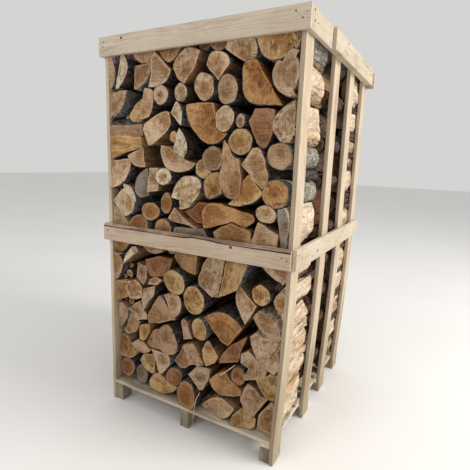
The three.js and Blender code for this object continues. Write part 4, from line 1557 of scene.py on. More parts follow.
    def add_to(self, piece: PieceMesh) -> None:
        """Adds the log's body to a piece.

        Args:
            piece: the piece that the log belongs to.
        """
        sides, along = self._sides()
        most = self.most_tilt
        tilts = np.clip(self.random.normal(0.0, self.tilt, (2, 2)), -most, most)
        near, near_depth = self._cap(sides[0], float(along[0]), tilts[0])
        far, far_depth = self._cap(sides[-1], float(along[-1]), tilts[1])
        offset = sides - sides.mean(axis=1, keepdims=True)
        share = (along - along[0]) / (along[-1] - along[0])
        fades = (np.clip(1 - part / self.tilt_reach, 0, 1) for part in (share, 1 - share))
        slant = sum((offset @ tilt) * fade[:, None] for tilt, fade in zip(tilts, fades))
        body = np.concatenate([sides, (along[:, None] + slant)[..., None]], axis=-1)
        local = np.concatenate([near, body[1:-1], far[::-1]])
        if not self.crosswise:
            local[..., 2] = np.clip(local[..., 2], *self.reach)
        bare = np.zeros((len(body) - 2, sides.shape[1]))
        depths = np.concatenate([near_depth, bare, far_depth[::-1]])
        depths = np.concatenate([depths.ravel(), [1.0, 1.0]])
        first, last = local[0].mean(axis=0), local[-1].mean(axis=0)
        ends_and_sides = (self._placed(part) for part in (first, local, last))
        skin = Skin(*ends_and_sides, self._surfaces(len(body)))
        every = np.concatenate([local.reshape(-1, 3), first[None], last[None]])
        grain = (every - np.array([*self.outline.pith, 0.0])) * MM
        grain[:, 2] += self.random.uniform(*self.shifts)
        colours = self._tint(depths[:, None])
        mood = np.stack([np.full(len(every), self._heart()), np.zeros(len(every)), depths], axis=1)
        mood[:, 1] = self.random.uniform(0.0, 1.0)
        kind = np.full((len(every), 1), self.random.uniform(*self.bark_kind))
        piece.add(skin, grain, np.concatenate([colours, kind], axis=1), mood)


@dataclass(frozen=True)
class Tier:
    """One tier of a row, and how its logs come from the drawn ones, with heights in mm.

    The scale counts from the height start, which comes to lie at the height base.
    """

    place: Place
    upper: bool
    low: float
    high: float
    start: float = 0.0
    base: float = 0.0
    scale: float = 1.0

    @property
    def node(self) -> str:
        """The node of the tier's solid."""
        return f"logs_{self.place.value}_{'upper' if self.upper else 'lower'}"

    @property
    def turned(self) -> bool:
        """Whether the row mirrors the front one."""
        return self.place is Place.BACK

    @property
    def inside(self) -> bool:
        """Whether the row lies between the other two."""
        return self.place is Place.MIDDLE

    def logs(self) -> tuple[DrawnLog, ...]:
        """The drawn logs that fill the tier.

        Returns:
            Their lines of the tables.
        """
        if not self.upper:
            return LOWER_TIER
        extra = () if self.inside else TOP_LOGS
        return UPPER_TIER + extra + (CORNER_LOGS if self.turned else ())


@dataclass
class Firewood:
    """The three rows of logs, each in two tiers. Sizes are in mm."""

    materials: list[bpy.types.Material]
    crate: Crate = field(default_factory=Crate)
    eye: Eye = field(default_factory=Eye)
    seed: int = 4711
    courses: int = 4

    # How finely outlines and lengths are divided, and how far outlines are drawn outwards
    fine_step: float = 7.5
    hidden_step: float = 12.0
    fine_spacing: float = 18.0
    coarse_spacing: float = 42.0
    growth: float = 3.0
    low_front_growth: float = -0.5

    # Where the rows lie
    front_row_back: float = 404.0
    middle_row: Point = (448.0, 826.0)
    back_row_front: float = 846.0
    middle_scale: float = 1.42
    middle_top: float = 2116.0
    middle_inset: Point = (34.0, 84.0)
    top_gap: float = 5.0
    least_share: float = 0.09
    least_height: float = 80.0
    near: Point = (-4.0, 4.0)
    far: Point = (-26.0, 10.0)
    middle_ragged: float = 4.0
    back_inset: float = 2.0
    back_clearance: float = 1.0
    ragged_far: Point = (-70.0, 5.0)
    straight_far: Point = (5.0, 30.0)
    ragged_over: float = 420.0
    foremost: float = -21.0
    wedged_over: float = 20.0
    wedged_left: float = -100.0
    wedged_front: Point = (40.0, 150.0)
    wedged_setback: float = 8.0

    # How logs lean against the slats and lie under the top
    wall_touch: float = 3.5
    bulges: Point = (0.18, 0.03)
    back_bulge: float = 0.12
    top_bulge: float = 0.34
    top_most: float = 72.0
    barked_heights: tuple[Point, ...] = ((1375.0, 1590.0), (1980.0, 2150.0))
    barked_share: float = 0.35
    barked_top: float = 0.5

    # Colours and relief
    walled_relief: float = 2.0
    retoned: float = 0.4
    dull_tones: tuple[Tone, ...] = (Tone.REDDISH, Tone.TAN, Tone.GREY)
    damp: Point = (0.79, 0.93)
    # Painted shade: the middle row's logs against the right slats, and its wedged logs, are
    # darkened to this share for the dark hollow deep in the stack.
    shaded: float = 0.5
    # Painted shade: wedged logs of the front and back rows are darkened to this share in the gaps
    # where they sit.
    wedged_shade: float = 0.9
    open_top: float = 1960.0
    lit_reach: float = 34.0
    # Painted light: sides of logs lit through the right slats are painted pale, while other
    # front-row sides keep the darker tint.
    lit_fresh: float = 0.9
    left_fresh: Point = (0.5, 0.3)
    any_bark: Point = (0.0, 1.0)
    russet: Point = (-0.4, 0.1)
    # Painted lit copies of the bark for logs lit through the right slats.
    sunlit: Point = (1.04, 1.12)
    bleached: Point = (1.6, 2.0)

    def _tier(self, place: Place, upper: bool) -> Tier:
        """One tier of a row.

        Args:
            place: the row.
            upper: whether it is the upper tier.

        Returns:
            The tier.
        """
        floor, split = self.crate.deck_top, self.crate.tier_split
        if place is not Place.MIDDLE:
            heights = (split, self.crate.height - self.top_gap) if upper else (floor, split)
            return Tier(place, upper, *heights)
        turn = floor + (split - floor) * self.middle_scale
        if upper:
            return Tier(place, upper, turn, self.middle_top, split, turn, self.middle_scale)
        return Tier(place, upper, floor, turn, floor, floor, self.middle_scale)

    def _share(self, real: np.ndarray, tier: Tier) -> np.ndarray:
        """Places of the front face as shares of the width and heights, for any tier.

        Args:
            real: places in the front face.
            tier: the tier.

        Returns:
            Shares of the width and heights.
        """
        left = self.crate.left
        share = (real[:, 0] - left) / (self.crate.right(real[:, 1]) - left) * tier.scale
        if tier.turned:
            share = 1.0 - share
        return np.stack([share, tier.base + (real[:, 1] - tier.start) * tier.scale], axis=1)

    def _fitted(self, shares: np.ndarray, tier: Tier) -> np.ndarray:
        """Places between the slats and inside the tier.

        Args:
            shares: shares of the width and heights.
            tier: the tier.

        Returns:
            The places.
        """
        height = np.clip(shares[:, 1], tier.low, tier.high)
        left = self.crate.left
        across = left + np.clip(shares[:, 0], 0.0, 1.0) * (self.crate.right(height) - left)
        return np.stack([across, height], axis=1)

    def _ends(
        self, tier: Tier, setback: float, height: float, walled: bool, random: np.random.Generator
    ) -> Point:
        """Where a log starts and ends, counted from the slats' front edges.

        Args:
            tier: the log's tier.
            setback: how far its visible end is set back.
            height: its height over the ground.
            walled: whether it lies against the right slats.
            random: source of its uneven length.

        Returns:
            Its start and end.
        """
        near, far = random.uniform(*self.near), random.uniform(*self.far)
        if tier.place is Place.FRONT:
            if walled:
                ragged = height > self.ragged_over
                far = random.uniform(*(self.ragged_far if ragged else self.straight_far))
            front = float(self.eye.face_depth(np.array(height))) + setback + near
            return max(front, self.foremost), self.front_row_back + far
        if tier.inside:
            return self.middle_row[0] + near * self.middle_ragged, self.middle_row[1] + far / 2
        back = self.crate.depth - self.eye.top_depth - setback - near - self.back_inset
        return self.back_row_front - far / 2, min(back, self.crate.depth - self.back_clearance)

    def _lean(
        self,
        outline: Outline,
        tier: Tier,
        right: np.ndarray,
        left: np.ndarray,
        random: np.random.Generator,
    ) -> bool:
        """Rounds a log where it leans against the slats or lies on top.

        Args:
            outline: the log's outline, which is changed.
            tier: its tier.
            right: which points touch the right slats.
            left: which points touch the left slats.
            random: source of what shows bark.

        Returns:
            Whether bark shows at the right slats.
        """
        height = float(outline.points[:, 1].mean())
        barked = random.random(2) < self.barked_share
        if tier.place is Place.FRONT:
            barked[0] = any(bottom < height < top for bottom, top in self.barked_heights)
        bulges = (self.back_bulge, self.back_bulge) if tier.turned else self.bulges
        outline.ease(right, -1.0, bulges[0], bool(barked[0]))
        outline.ease(left, 1.0, bulges[1], bool(barked[1]))
        if tier.inside:
            topped = outline.points[:, 1] > self.middle_top - self.wall_touch
            bark = random.random() < self.barked_top
            outline.ease(topped, -1.0, self.top_bulge, bark, axis=1, most=self.top_most)
        return bool(barked[0])

    def _tone(self, letter: str, tier: Tier, walled: bool, random: np.random.Generator) -> Tone:
        """A log's tone. Many logs of the hidden rows get another one than in the table.

        Args:
            letter: the table's letter.
            tier: the log's tier.
            walled: whether it lies against the right slats.
            random: source of the other tones.

        Returns:
            The tone.
        """
        tone = TONE_LETTERS[letter]
        if tier.place is not Place.FRONT and random.random() < self.retoned:
            tone = list(Tone)[int(random.integers(0, len(Tone)))]
        if tier.inside and walled:
            tone = self.dull_tones[int(random.integers(0, len(self.dull_tones)))]
        return tone

    def _bark_kind(self, tier: Tier, lit: bool, barked: bool) -> Point:
        """The range of a log's kind of bark.

        Args:
            tier: the log's tier.
            lit: whether light falls on it through the right slats.
            barked: whether bark shows at the right slats.

        Returns:
            The range.
        """
        if tier.inside:
            return self.russet
        if not lit:
            return self.any_bark
        # Logs lit through the right slats get painted lit copies of the bark.
        return self.sunlit if barked and tier.place is Place.FRONT else self.bleached

    def _one(self, log: DrawnLog, tier: Tier, random: np.random.Generator) -> Optional[LogBody]:
        """One log of a row.

        Args:
            log: the table's line.
            tier: its tier.
            random: source of what varies.

        Returns:
            The log, or nothing where the row has no room for it.
        """
        outline = drawn_outline(log, self.hidden_step if tier.inside else self.fine_step, random)
        low_front = tier.place is Place.FRONT and not tier.upper
        growth = self.low_front_growth if low_front else self.growth
        shares = self._share(self.eye.real(outline.points) + outline.normals() * growth, tier)
        least = shares.min(axis=0)
        beside, above = 1 - self.least_share, tier.high - self.least_height
        if tier.inside and (least[0] > beside or least[1] > above):
            return None
        points = self._fitted(shares, tier)
        wall = self.crate.right(points[:, 1])
        if tier.inside:
            wall = wall - random.uniform(*self.middle_inset)
            points[:, 0] = np.minimum(points[:, 0], wall)
        pith = self._share(self.eye.real(outline.pith[None]), tier)[0]
        pith[0] = self.crate.left + pith[0] * (self.crate.right(pith[1]) - self.crate.left)
        right = wall - points[:, 0] < self.wall_touch
        left = points[:, 0] - self.crate.left < self.wall_touch
        height = float(points[:, 1].mean())
        fitted = Outline(points, outline.bark.copy(), pith)
        barked = self._lean(fitted, tier, right, left, random)
        lit = not tier.inside and float((wall - fitted.points[:, 0]).min()) < self.lit_reach
        fitted = fitted.unfolded()
        if tier.turned:
            fitted = fitted.turned()
        walled, left_walled = bool(right.sum() > 2), bool(left.sum() > 2)
        tone = self._tone(log[0], tier, walled, random)
        front, back = self._ends(tier, float(log[1]), height, walled, random)
        seen = walled or left_walled or height > self.open_top
        # Painted light: logs lit through the right slats get pale sides.
        fresh = self.lit_fresh if lit else self.left_fresh[tier.inside] if left_walled else 0.0
        return LogBody(
            fitted,
            front,
            back,
            tone,
            random,
            limits=self.crate,
            spacing=self.fine_spacing if seen else self.coarse_spacing,
            relief=self.walled_relief if walled else 1.0,
            fresh=fresh,
            # Painted shade darkens the middle row's logs against the right slats.
            shade=self.shaded if walled and tier.inside else self.damp[tier.upper],
            bark_kind=self._bark_kind(tier, lit, barked),
        )

    def _wedged(self, tier: Tier, random: np.random.Generator) -> list[LogBody]:
        """The thin logs wedged in beside the slats.

        Args:
            tier: the tier in which they lie.
            random: source of what varies.

        Returns:
            The logs.
        """
        bodies = []
        for letter, across, height, radius in WEDGED_LOGS[tier.place.value]:
            if not tier.low < height < tier.high + self.wedged_over:
                continue
            outline = round_outline(across, height, np.full(2, radius), self.fine_step, random)
            setback = self.wedged_setback
            if tier.place is Place.FRONT:
                setback = self.wedged_front[across >= self.wedged_left]
            body = LogBody(
                outline,
                *self._ends(tier, setback, height, False, random),
                TONE_LETTERS[letter],
                random,
                limits=self.crate,
                # Painted shade darkens every wedged log: strongly in the middle row, a little in
                # the others.
                shade=self.shaded if tier.inside else self.wedged_shade,
                bark_kind=self.russet,
            )
            bodies.append(body)
        return bodies

    def _bodies(self, tier: Tier) -> list[LogBody]:
        """The logs of one tier.

        Args:
            tier: the tier.

        Returns:
            The logs, from the lowest to the highest.
        """
        offset = list(Place).index(tier.place) * 2 + int(tier.upper)
        random = np.random.default_rng(self.seed + offset)
        bodies = [self._one(log, tier, random) for log in tier.logs()]
        bodies += self._wedged(tier, random)
        return sorted(filter(None, bodies), key=lambda body: body.outline.points[:, 1].mean())

    def build(self) -> None:
        """Builds every row's pieces in the places of its solids."""
        for tier in (self._tier(place, upper) for place in Place for upper in (False, True)):
            bodies = self._bodies(tier)
            for index, group in enumerate(np.array_split(np.arange(len(bodies)), self.courses)):
                sheet = PieceMesh()
                for number in group:
                    bodies[number].add_to(sheet)
                name = f"{tier.node}_course_{index + 1}"
                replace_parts(sheet.build(name, self.materials, "log"), tier.node)
            REPORTS.info("%s: %d logs", tier.node, len(bodies))


@dataclass
class CrosswiseLogs:
    """Split logs that lie across the crate at the front left, three behind each other."""

    materials: list[bpy.types.Material]
    crate: Crate = field(default_factory=Crate)
    depths: tuple[Point, ...] = ((4.0, 146.0), (150.0, 270.0), (274.0, 388.0))
    upper: Triple = (1636.0, 1697.0, -325.0)
    lower: Triple = (1507.0, 1635.0, -332.0)
    hump: float = 46.0
    rise: float = 0.52
    weathered: Triple = (1.0, 0.92, 0.82)
    step: float = 7.0
    spacing: float = 16.0
    seed: int = 93

    def _outline(self, front: float, back: float, low: float, high: float, hump: float) -> Outline:
        """A split log's section with its flat face to the front.

        Args:
            front: where its front lies.
            back: where its back lies.
            low: its lowest height.
            high: its front's highest height.
            hump: how far it bulges above that.

        Returns:
            The section.
        """
        middle = -front - (back - front) * 0.5
        log: DrawnLog = (
            "T",
            0,
            (-front, low + 1),
            (-front, high),
            (middle, high + hump, -back, high + hump * 0.4),
            (-back, low + 4),
            (middle, low - hump * 0.1, -front, low + 1),
        )
        return drawn_outline(log, self.step, np.random.default_rng(self.seed))

    def build(self) -> None:
        """Builds the pieces."""
        random = np.random.default_rng(self.seed)
        left = self.crate.left + 1.0
        levels = {
            "upper": (self.upper, 0.0, Tone.TAN, self.hump),
            "lower": (self.lower, self.rise, Tone.YELLOW, 0.0),
        }
        for level, ((low, high, right), rise, tone, hump) in levels.items():
            for index, (front, back) in enumerate(self.depths):
                sheet = PieceMesh()
                outline = self._outline(front, back, low, high, hump * random.uniform(0.8, 1.0))
                LogBody(
                    outline,
                    left,
                    right,
                    tone,
                    random,
                    crosswise=True,
                    rise=rise,
                    spacing=self.spacing,
                    weathered=self.weathered,
                ).add_to(sheet)
                node = f"crosswise_log_{level}_{index + 1}"
                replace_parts(sheet.build(f"{node}_split", self.materials, "log"), node)
        REPORTS.info("crosswise logs: %d pieces", 2 * len(self.depths))


# The crate


@dataclass
class Board:
    """One sawn board in the place of a solid: edges that waver, worn corners, uneven ends."""

    node: str
    random: np.random.Generator
    tint: Triple = (1.0, 1.0, 1.0)
    corner: float = 0.0018
    waver: float = 0.0010
    ripple: Point = (0.05, 0.30)
    spacing: float = 0.03
    worn_end: float = 0.004
    face_points: int = 4
    inset: float = 0.0001
    narrow_from: float = 0.98
    face_waver: float = 0.35
    end_wear: Point = (0.0, 0.0012)
    pith_across: Point = (-0.06, 0.06)
    pith_through: Point = (0.03, 0.09)
    drifts: Point = (-0.02, 0.02)
    shifts: Point = (-30.0, 30.0)
    shades: Point = (0.95, 1.05)
    low: np.ndarray = field(init=False)
    high: np.ndarray = field(init=False)
    along: int = field(init=False)
    across: int = field(init=False)
    flat: int = field(init=False)

    def __post_init__(self) -> None:
        """Reads where the solid is, and which way the board runs."""
        low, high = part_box(self.node)
        self.low, self.high = np.array(low), np.array(high)
        size = self.high - self.low
        self.along, self.across, self.flat = (int(axis) for axis in np.argsort(-size))

    @property
    def middle(self) -> np.ndarray:
        """The middle of the board."""
        return (self.low + self.high) / 2

    @property
    def width(self) -> float:
        """The board's width."""
        return float(self.high[self.across] - self.low[self.across])

    @property
    def thickness(self) -> float:
        """The board's thickness."""
        return float(self.high[self.flat] - self.low[self.flat])

    @property
    def length(self) -> float:
        """The board's length."""
        return float(self.high[self.along] - self.low[self.along])

    def _section(self) -> np.ndarray:
        """The section, with worn corners and points along the faces.

        Returns:
            Its points, anticlockwise.
        """
        half = np.array([self.width, self.thickness]) / 2
        points: list[np.ndarray] = []
        corners = np.array([(1.0, 1.0), (-1.0, 1.0), (-1.0, -1.0), (1.0, -1.0)])
        for index, corner in enumerate(corners):
            centre = corner * half - corner * self.corner
            for step in range(3):
                angle = math.pi / 2 * (index + step / 2)
                points.append(centre + self.corner * np.array([math.cos(angle), math.sin(angle)]))
            run = corners[(index + 1) % 4] - corner
            count = self.face_points if abs(run[0]) > abs(run[1]) else 1
            steps = range(1, count + 1)
            points.extend((corner + run * step / (count + 1)) * half for step in steps)
        return np.array(points)

    def _rings(self, share: np.ndarray) -> np.ndarray:
        """The section at each station, drawn in unevenly.

        Args:
            share: each station's share of the length.

        Returns:
            For each station and point, the place across and through the board.
        """
        section = self._section()
        ripple = Ripple(self.random, *self.ripple, self.waver)
        relief = ripple.over(distances(section)[None], share[:, None] * self.length)
        relief = relief - np.abs(relief).max() - self.inset
        narrow = np.abs(section[:, 0]) / (self.width / 2) > self.narrow_from
        relief = np.where(narrow[None], relief, relief * self.face_waver)
        towards = np.where(narrow[:, None], np.sign(section) * (1, 0), np.sign(section) * (0, 1))
        return section[None] + towards[None] * relief[..., None]

    def _run(self, across: np.ndarray) -> tuple[np.ndarray, np.ndarray]:
        """Where each line of points along the board starts and ends."""
        wear = self.random.uniform(*self.end_wear, (2, across.shape[-1]))
        return self.low[self.along] + wear[0], self.high[self.along] - wear[1]

    def _bent(self, places: np.ndarray) -> np.ndarray:
        """The board's places after bending."""
        return places

    def _surfaces(self, stations: int, count: int) -> np.ndarray:
        """What each face shows, in rows round the board."""
        return np.full((stations, count), BoardSurface.SAWN.value)

    def add_to(self, sheet: PieceMesh) -> None:
        """Adds the board to a piece.

        Args:
            sheet: the piece.
        """
        inner = np.linspace(0.0, 1.0, max(4, round(self.length / self.spacing)) + 1)[1:-1]
        share = np.concatenate(([0.0, self.worn_end], inner, [1.0 - self.worn_end, 1.0]))
        rings = self._rings(share)
        stations, count = rings.shape[:2]
        places = np.zeros((stations, count, 3))
        places[..., self.across] = self.middle[self.across] + rings[..., 0]
        places[..., self.flat] = self.middle[self.flat] + rings[..., 1]
        start, end = self._run(places[..., self.across])
        places[..., self.along] = start + (end - start) * share[:, None]
        places = self._bent(places)
        tips = places[[0, -1]].mean(axis=1)
        first, last = ((tip + (edge - tip) * 0.5)[None] for tip, edge in zip(tips, places[[0, -1]]))
        chain = np.concatenate([first, places, last])
        handed = np.linalg.det(np.eye(3)[[self.across, self.along, self.flat]])
        skin = Skin(tips[0], chain, tips[1], self._surfaces(stations + 1, count), handed < 0)
        points = skin.points()
        ranges = (self.pith_across, self.pith_through)
        pith = [self.random.uniform(*span) for span in ranges]
        drift = self.random.uniform(*self.drifts, 2)
        run = points[:, self.along] - self.middle[self.along]
        grain = np.stack([
            points[:, self.across] - self.middle[self.across] - pith[0] - drift[0] * run,
            points[:, self.flat] - self.middle[self.flat] - pith[1] - drift[1] * run,
            run + self.random.uniform(*self.shifts),
        ], axis=1)
        tint = np.array([*(np.array(self.tint) * self.random.uniform(*self.shades)), 0.5])
        mood = np.stack([points[:, 2], np.full(len(points), 0.5), np.ones(len(points))], axis=1)
        sheet.add(skin, grain, tint, mood)


@dataclass
class LeaningSlat(Board):
    """A right slat, which stands upright above the middle band and leans in below it."""

    crate: Crate = field(default_factory=Crate)
    stock: float = 0.022

    def __post_init__(self) -> None:
        """Sets the way in which the slat runs, as its box is wider than the slat."""
        super().__post_init__()
        self.along, self.across, self.flat = 2, 1, 0
        self.low[0] = self.high[0] - self.stock

    def _bent(self, places: np.ndarray) -> np.ndarray:
        """The slat's places after leaning.

        Args:
            places: its places while it is straight.

        Returns:
            The places.
        """
        bent = places.copy()
        bent[..., 0] -= self.crate.lean(places[..., 2] / MM) * MM
        return bent


@dataclass
class CornerPost(LeaningSlat):
    """The slat at the front right corner, with painted shade darkening its front edge."""

    edge_share: float = 0.4

    def _surfaces(self, stations: int, count: int) -> np.ndarray:
        """What each face shows, with the painted-shade finish on the front edge.

        Args:
            stations: how many steps there are along the board.
            count: how many faces there are round it.

        Returns:
            One row for each step.
        """
        surfaces = super()._surfaces(stations, count)
        # The front edge gets the darker finish as painted shade.
        edge = self._section()[:, 0] < -self.edge_share * self.width
        surfaces[1:-1, edge & np.roll(edge, -1)] = BoardSurface.DULL.value
        return surfaces


@dataclass
class ScarfBoard(Board):
    """A middle band board cut on a long slant where it meets the next one."""

    slant_start: float = 0.0
    slant_end: float = 0.0
    joint: float = 0.0026

    def _run(self, across: np.ndarray) -> tuple[np.ndarray, np.ndarray]:
        """Where each line of points along the board starts and ends, with the slant.

        Args:
            across: the points' places across the board.

        Returns:
            Their starts and ends.
        """
        lift = (across - self.low[self.across]) / self.width
        start = self.low[self.along] + self.slant_start * lift
        end = self.high[self.along] - self.slant_end * (1 - lift)
        return (start + self.joint, end) if self.slant_start else (start, end - self.joint)


@dataclass
class WaneyBoard(Board):
    """The front middle band, which keeps a strip of bark along its upper front edge."""

    wane: tuple[float, ...] = (20, 24, 21, 26, 29, 25, 12, 15, 27, 24, 22, 19)
    wane_depth: float = 0.013
    strip_lifts: tuple[float, ...] = (0.0, 0.32, 0.5, 0.75, 1.0)
    strip_belly: float = 0.0016
    strip_ripple: float = 0.0005
    strip_insets: Point = (0.0005, 0.0003)

    def _strip_start(self) -> int:
        """The place of the strip's first point in the section."""
        return len(self._section()) - len(self.strip_lifts) - 1

    def _section(self) -> np.ndarray:
        """The plain section with room for the strip in the place of its last corner.

        Returns:
            Its points, anticlockwise.
        """
        section = super()._section()
        strip = np.array([[self.width, -self.thickness]]) / 2
        strip = np.repeat(strip, len(self.strip_lifts), axis=0)
        return np.concatenate([section[:-4], strip, section[-1:]])

    def _rings(self, share: np.ndarray) -> np.ndarray:
        """The section at each station, with the strip along the upper front edge.

        Args:
            share: each station's share of the length.

        Returns:
            For each station and point, the place across and through the board.
        """
        rings = super()._rings(share)
        wanes = np.interp(share, np.linspace(0, 1, len(self.wane)), self.wane) * MM
        half_width = self.width / 2 - self.strip_insets[0]
        half_thickness = self.thickness / 2 - self.strip_insets[1]
        for point, lift in enumerate(self.strip_lifts, self._strip_start()):
            belly = self.strip_belly * math.sin(math.pi * lift)
            ripple = np.abs(self.random.normal(0.0, self.strip_ripple, len(share)))
            rings[:, point, 0] = half_width - wanes * (1 - lift) + belly
            rings[:, point, 1] = -half_thickness + self.wane_depth * lift - belly + ripple
        rings[..., 0] = np.minimum(rings[..., 0], half_width)
        return rings

    def _surfaces(self, stations: int, count: int) -> np.ndarray:
        """What each face shows, with bark on the strip and a dark crease under it: dark bark edge
        and painted shade in the crease.

        Args:
            stations: how many steps there are along the board.
            count: how many faces there are round it.

        Returns:
            One row for each step.
        """
        surfaces = super()._surfaces(stations, count)
        start = self._strip_start()
        end = start + len(self.strip_lifts) - 1
        # The crease row is painted dark: bark edge and painted shade.
        surfaces[1:-1, start] = BoardSurface.CREASE.value
        surfaces[1:-1, start + 1:end] = BoardSurface.STRIP.value
        return surfaces


@dataclass
class CrateFrame:
    """The boards of the crate and of its pallet.

    The crate's boards have the materials of BoardSurface, and the pallet's have one of their own.
    """

    sawn: list[bpy.types.Material]
    weathered: bpy.types.Material
    seed: int = 18
    sharp: float = 50.0
    scarf_run: float = 0.239
    pallet_corner: float = 0.003
    pallet_waver: float = 0.0014
    lit_over: float = 0.4
    slat_tint: Triple = (1.0, 0.97, 0.91)
    side_tint: Triple = (1.0, 1.01, 0.99)
    band_tint: Triple = (0.95, 0.88, 0.83)
    # Painted light: pallet boards lit at the right side get a pale copy of the finish; the rest are
    # darker and more olive.
    lit_edge_tint: Triple = (2.0, 1.9, 1.66)
    pallet_tint: Triple = (0.84, 0.82, 0.68)
    deck_tint: Triple = (1.6, 1.55, 1.42)

    def _board(self, node: str, random: np.random.Generator) -> Board:
        """The right kind of board for a node.

        Args:
            node: the solid's node.
            random: source of what varies.

        Returns:
            The board.
        """
        if node.startswith(("block", "stringer", "deck")):
            low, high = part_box(node)
            lit = low[0] > self.lit_over and high[1] > -self.lit_over
            # Painted light: pallet boards lit at the right are tinted about twice as bright.
            tint = self.lit_edge_tint if lit else self.pallet_tint
            if node.startswith("deck"):
                tint = self.deck_tint
            return Board(node, random, tint, self.pallet_corner, self.pallet_waver)
        if node.startswith("slat"):
            kind = LeaningSlat if "right" in node else Board
            return (CornerPost if node == "slat_right_1" else kind)(node, random, self.slat_tint)
        if node == "middle_band_right_front":
            return ScarfBoard(node, random, self.side_tint, slant_end=self.scarf_run)
        if node == "middle_band_right_back":
            return ScarfBoard(node, random, self.side_tint, slant_start=self.scarf_run)
        if node == "middle_band_front":
            return WaneyBoard(node, random, self.band_tint)
        return Board(node, random, self.side_tint if "right" in node else (1.0, 1.0, 1.0))

    def build(self) -> None:
        """Builds one piece in the place of each board's solid."""
        random = np.random.default_rng(self.seed)
        kinds = ("block", "stringer", "deck", "slat", "top_band", "middle_band")
        nodes = [node for node in sorted(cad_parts) if node.startswith(kinds)]
        for node in nodes:
            sheet = PieceMesh()
            self._board(node, random).add_to(sheet)
            if node.startswith(kinds[:3]):
                dress = (f"{node}_rough", [self.weathered], "weathered_board", self.sharp)
            else:
                dress = (f"{node}_sawn", self.sawn, "sawn_board", self.sharp)
            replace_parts(sheet.build(*dress), node)
        REPORTS.info("crate: %d boards", len(nodes))


class Side(Enum):
    """A side of the crate, with the axis it looks along and the direction."""

    FRONT = (1, -1.0)
    BACK = (1, 1.0)
    LEFT = (0, -1.0)
    RIGHT = (0, 1.0)


@dataclass
class Disc:
    """A flat round thing let into a board's face: a nail's head or a knot."""

    place: np.ndarray
    side: Side
    half: Point
    proud: float
    sunk: float
    random: np.random.Generator
    count: int = 14
    oval: float = 0.06
    rough: float = 0.02
    flat_share: float = 0.55
    edge: Point = (0.9, 0.75)
    root_share: float = 0.5
    shifts: Point = (-9.0, 9.0)

    def add_to(self, sheet: PieceMesh) -> None:
        """Adds the disc to a piece.

        Args:
            sheet: the piece.
        """
        axis, direction = self.side.value
        angle = 2 * math.pi * np.arange(self.count) / self.count
        uneven = 1 + self.oval * np.sin(2 * angle + self.random.uniform(0, ANY_PHASE))
        uneven = uneven + self.random.normal(0, self.rough, self.count)
        circle = np.stack([np.cos(angle), np.sin(angle)], axis=1) * self.half * uneven[:, None]
        levels = (
            (self.flat_share, self.proud),
            (self.edge[0], self.proud * self.edge[1]),
            (1.0, 0.0),
            (1.0, -self.sunk),
            (self.root_share, -self.sunk),
        )
        rings = np.zeros((len(levels), self.count, 3))
        for index, (share, level) in enumerate(levels):
            rings[index, :, 1 - axis] = self.place[1 - axis] + circle[:, 0] * share
            rings[index, :, 2] = self.place[2] + circle[:, 1] * share
            rings[index, :, axis] = self.place[axis] + direction * level
        tips = rings[[0, -1]].mean(axis=1)
        mirrored = (axis == 1) != (direction < 0)
        surfaces = np.zeros((len(levels) - 1, self.count), dtype=int)
        skin = Skin(tips[0], rings, tips[1], surfaces, mirrored)
        grain = (skin.points() - self.place)[:, [1 - axis, 2, axis]]
        grain[:, 2] += self.random.uniform(*self.shifts)
        sheet.add(skin, grain, np.ones(4), np.array([0.5, 0.5, 1.0]))


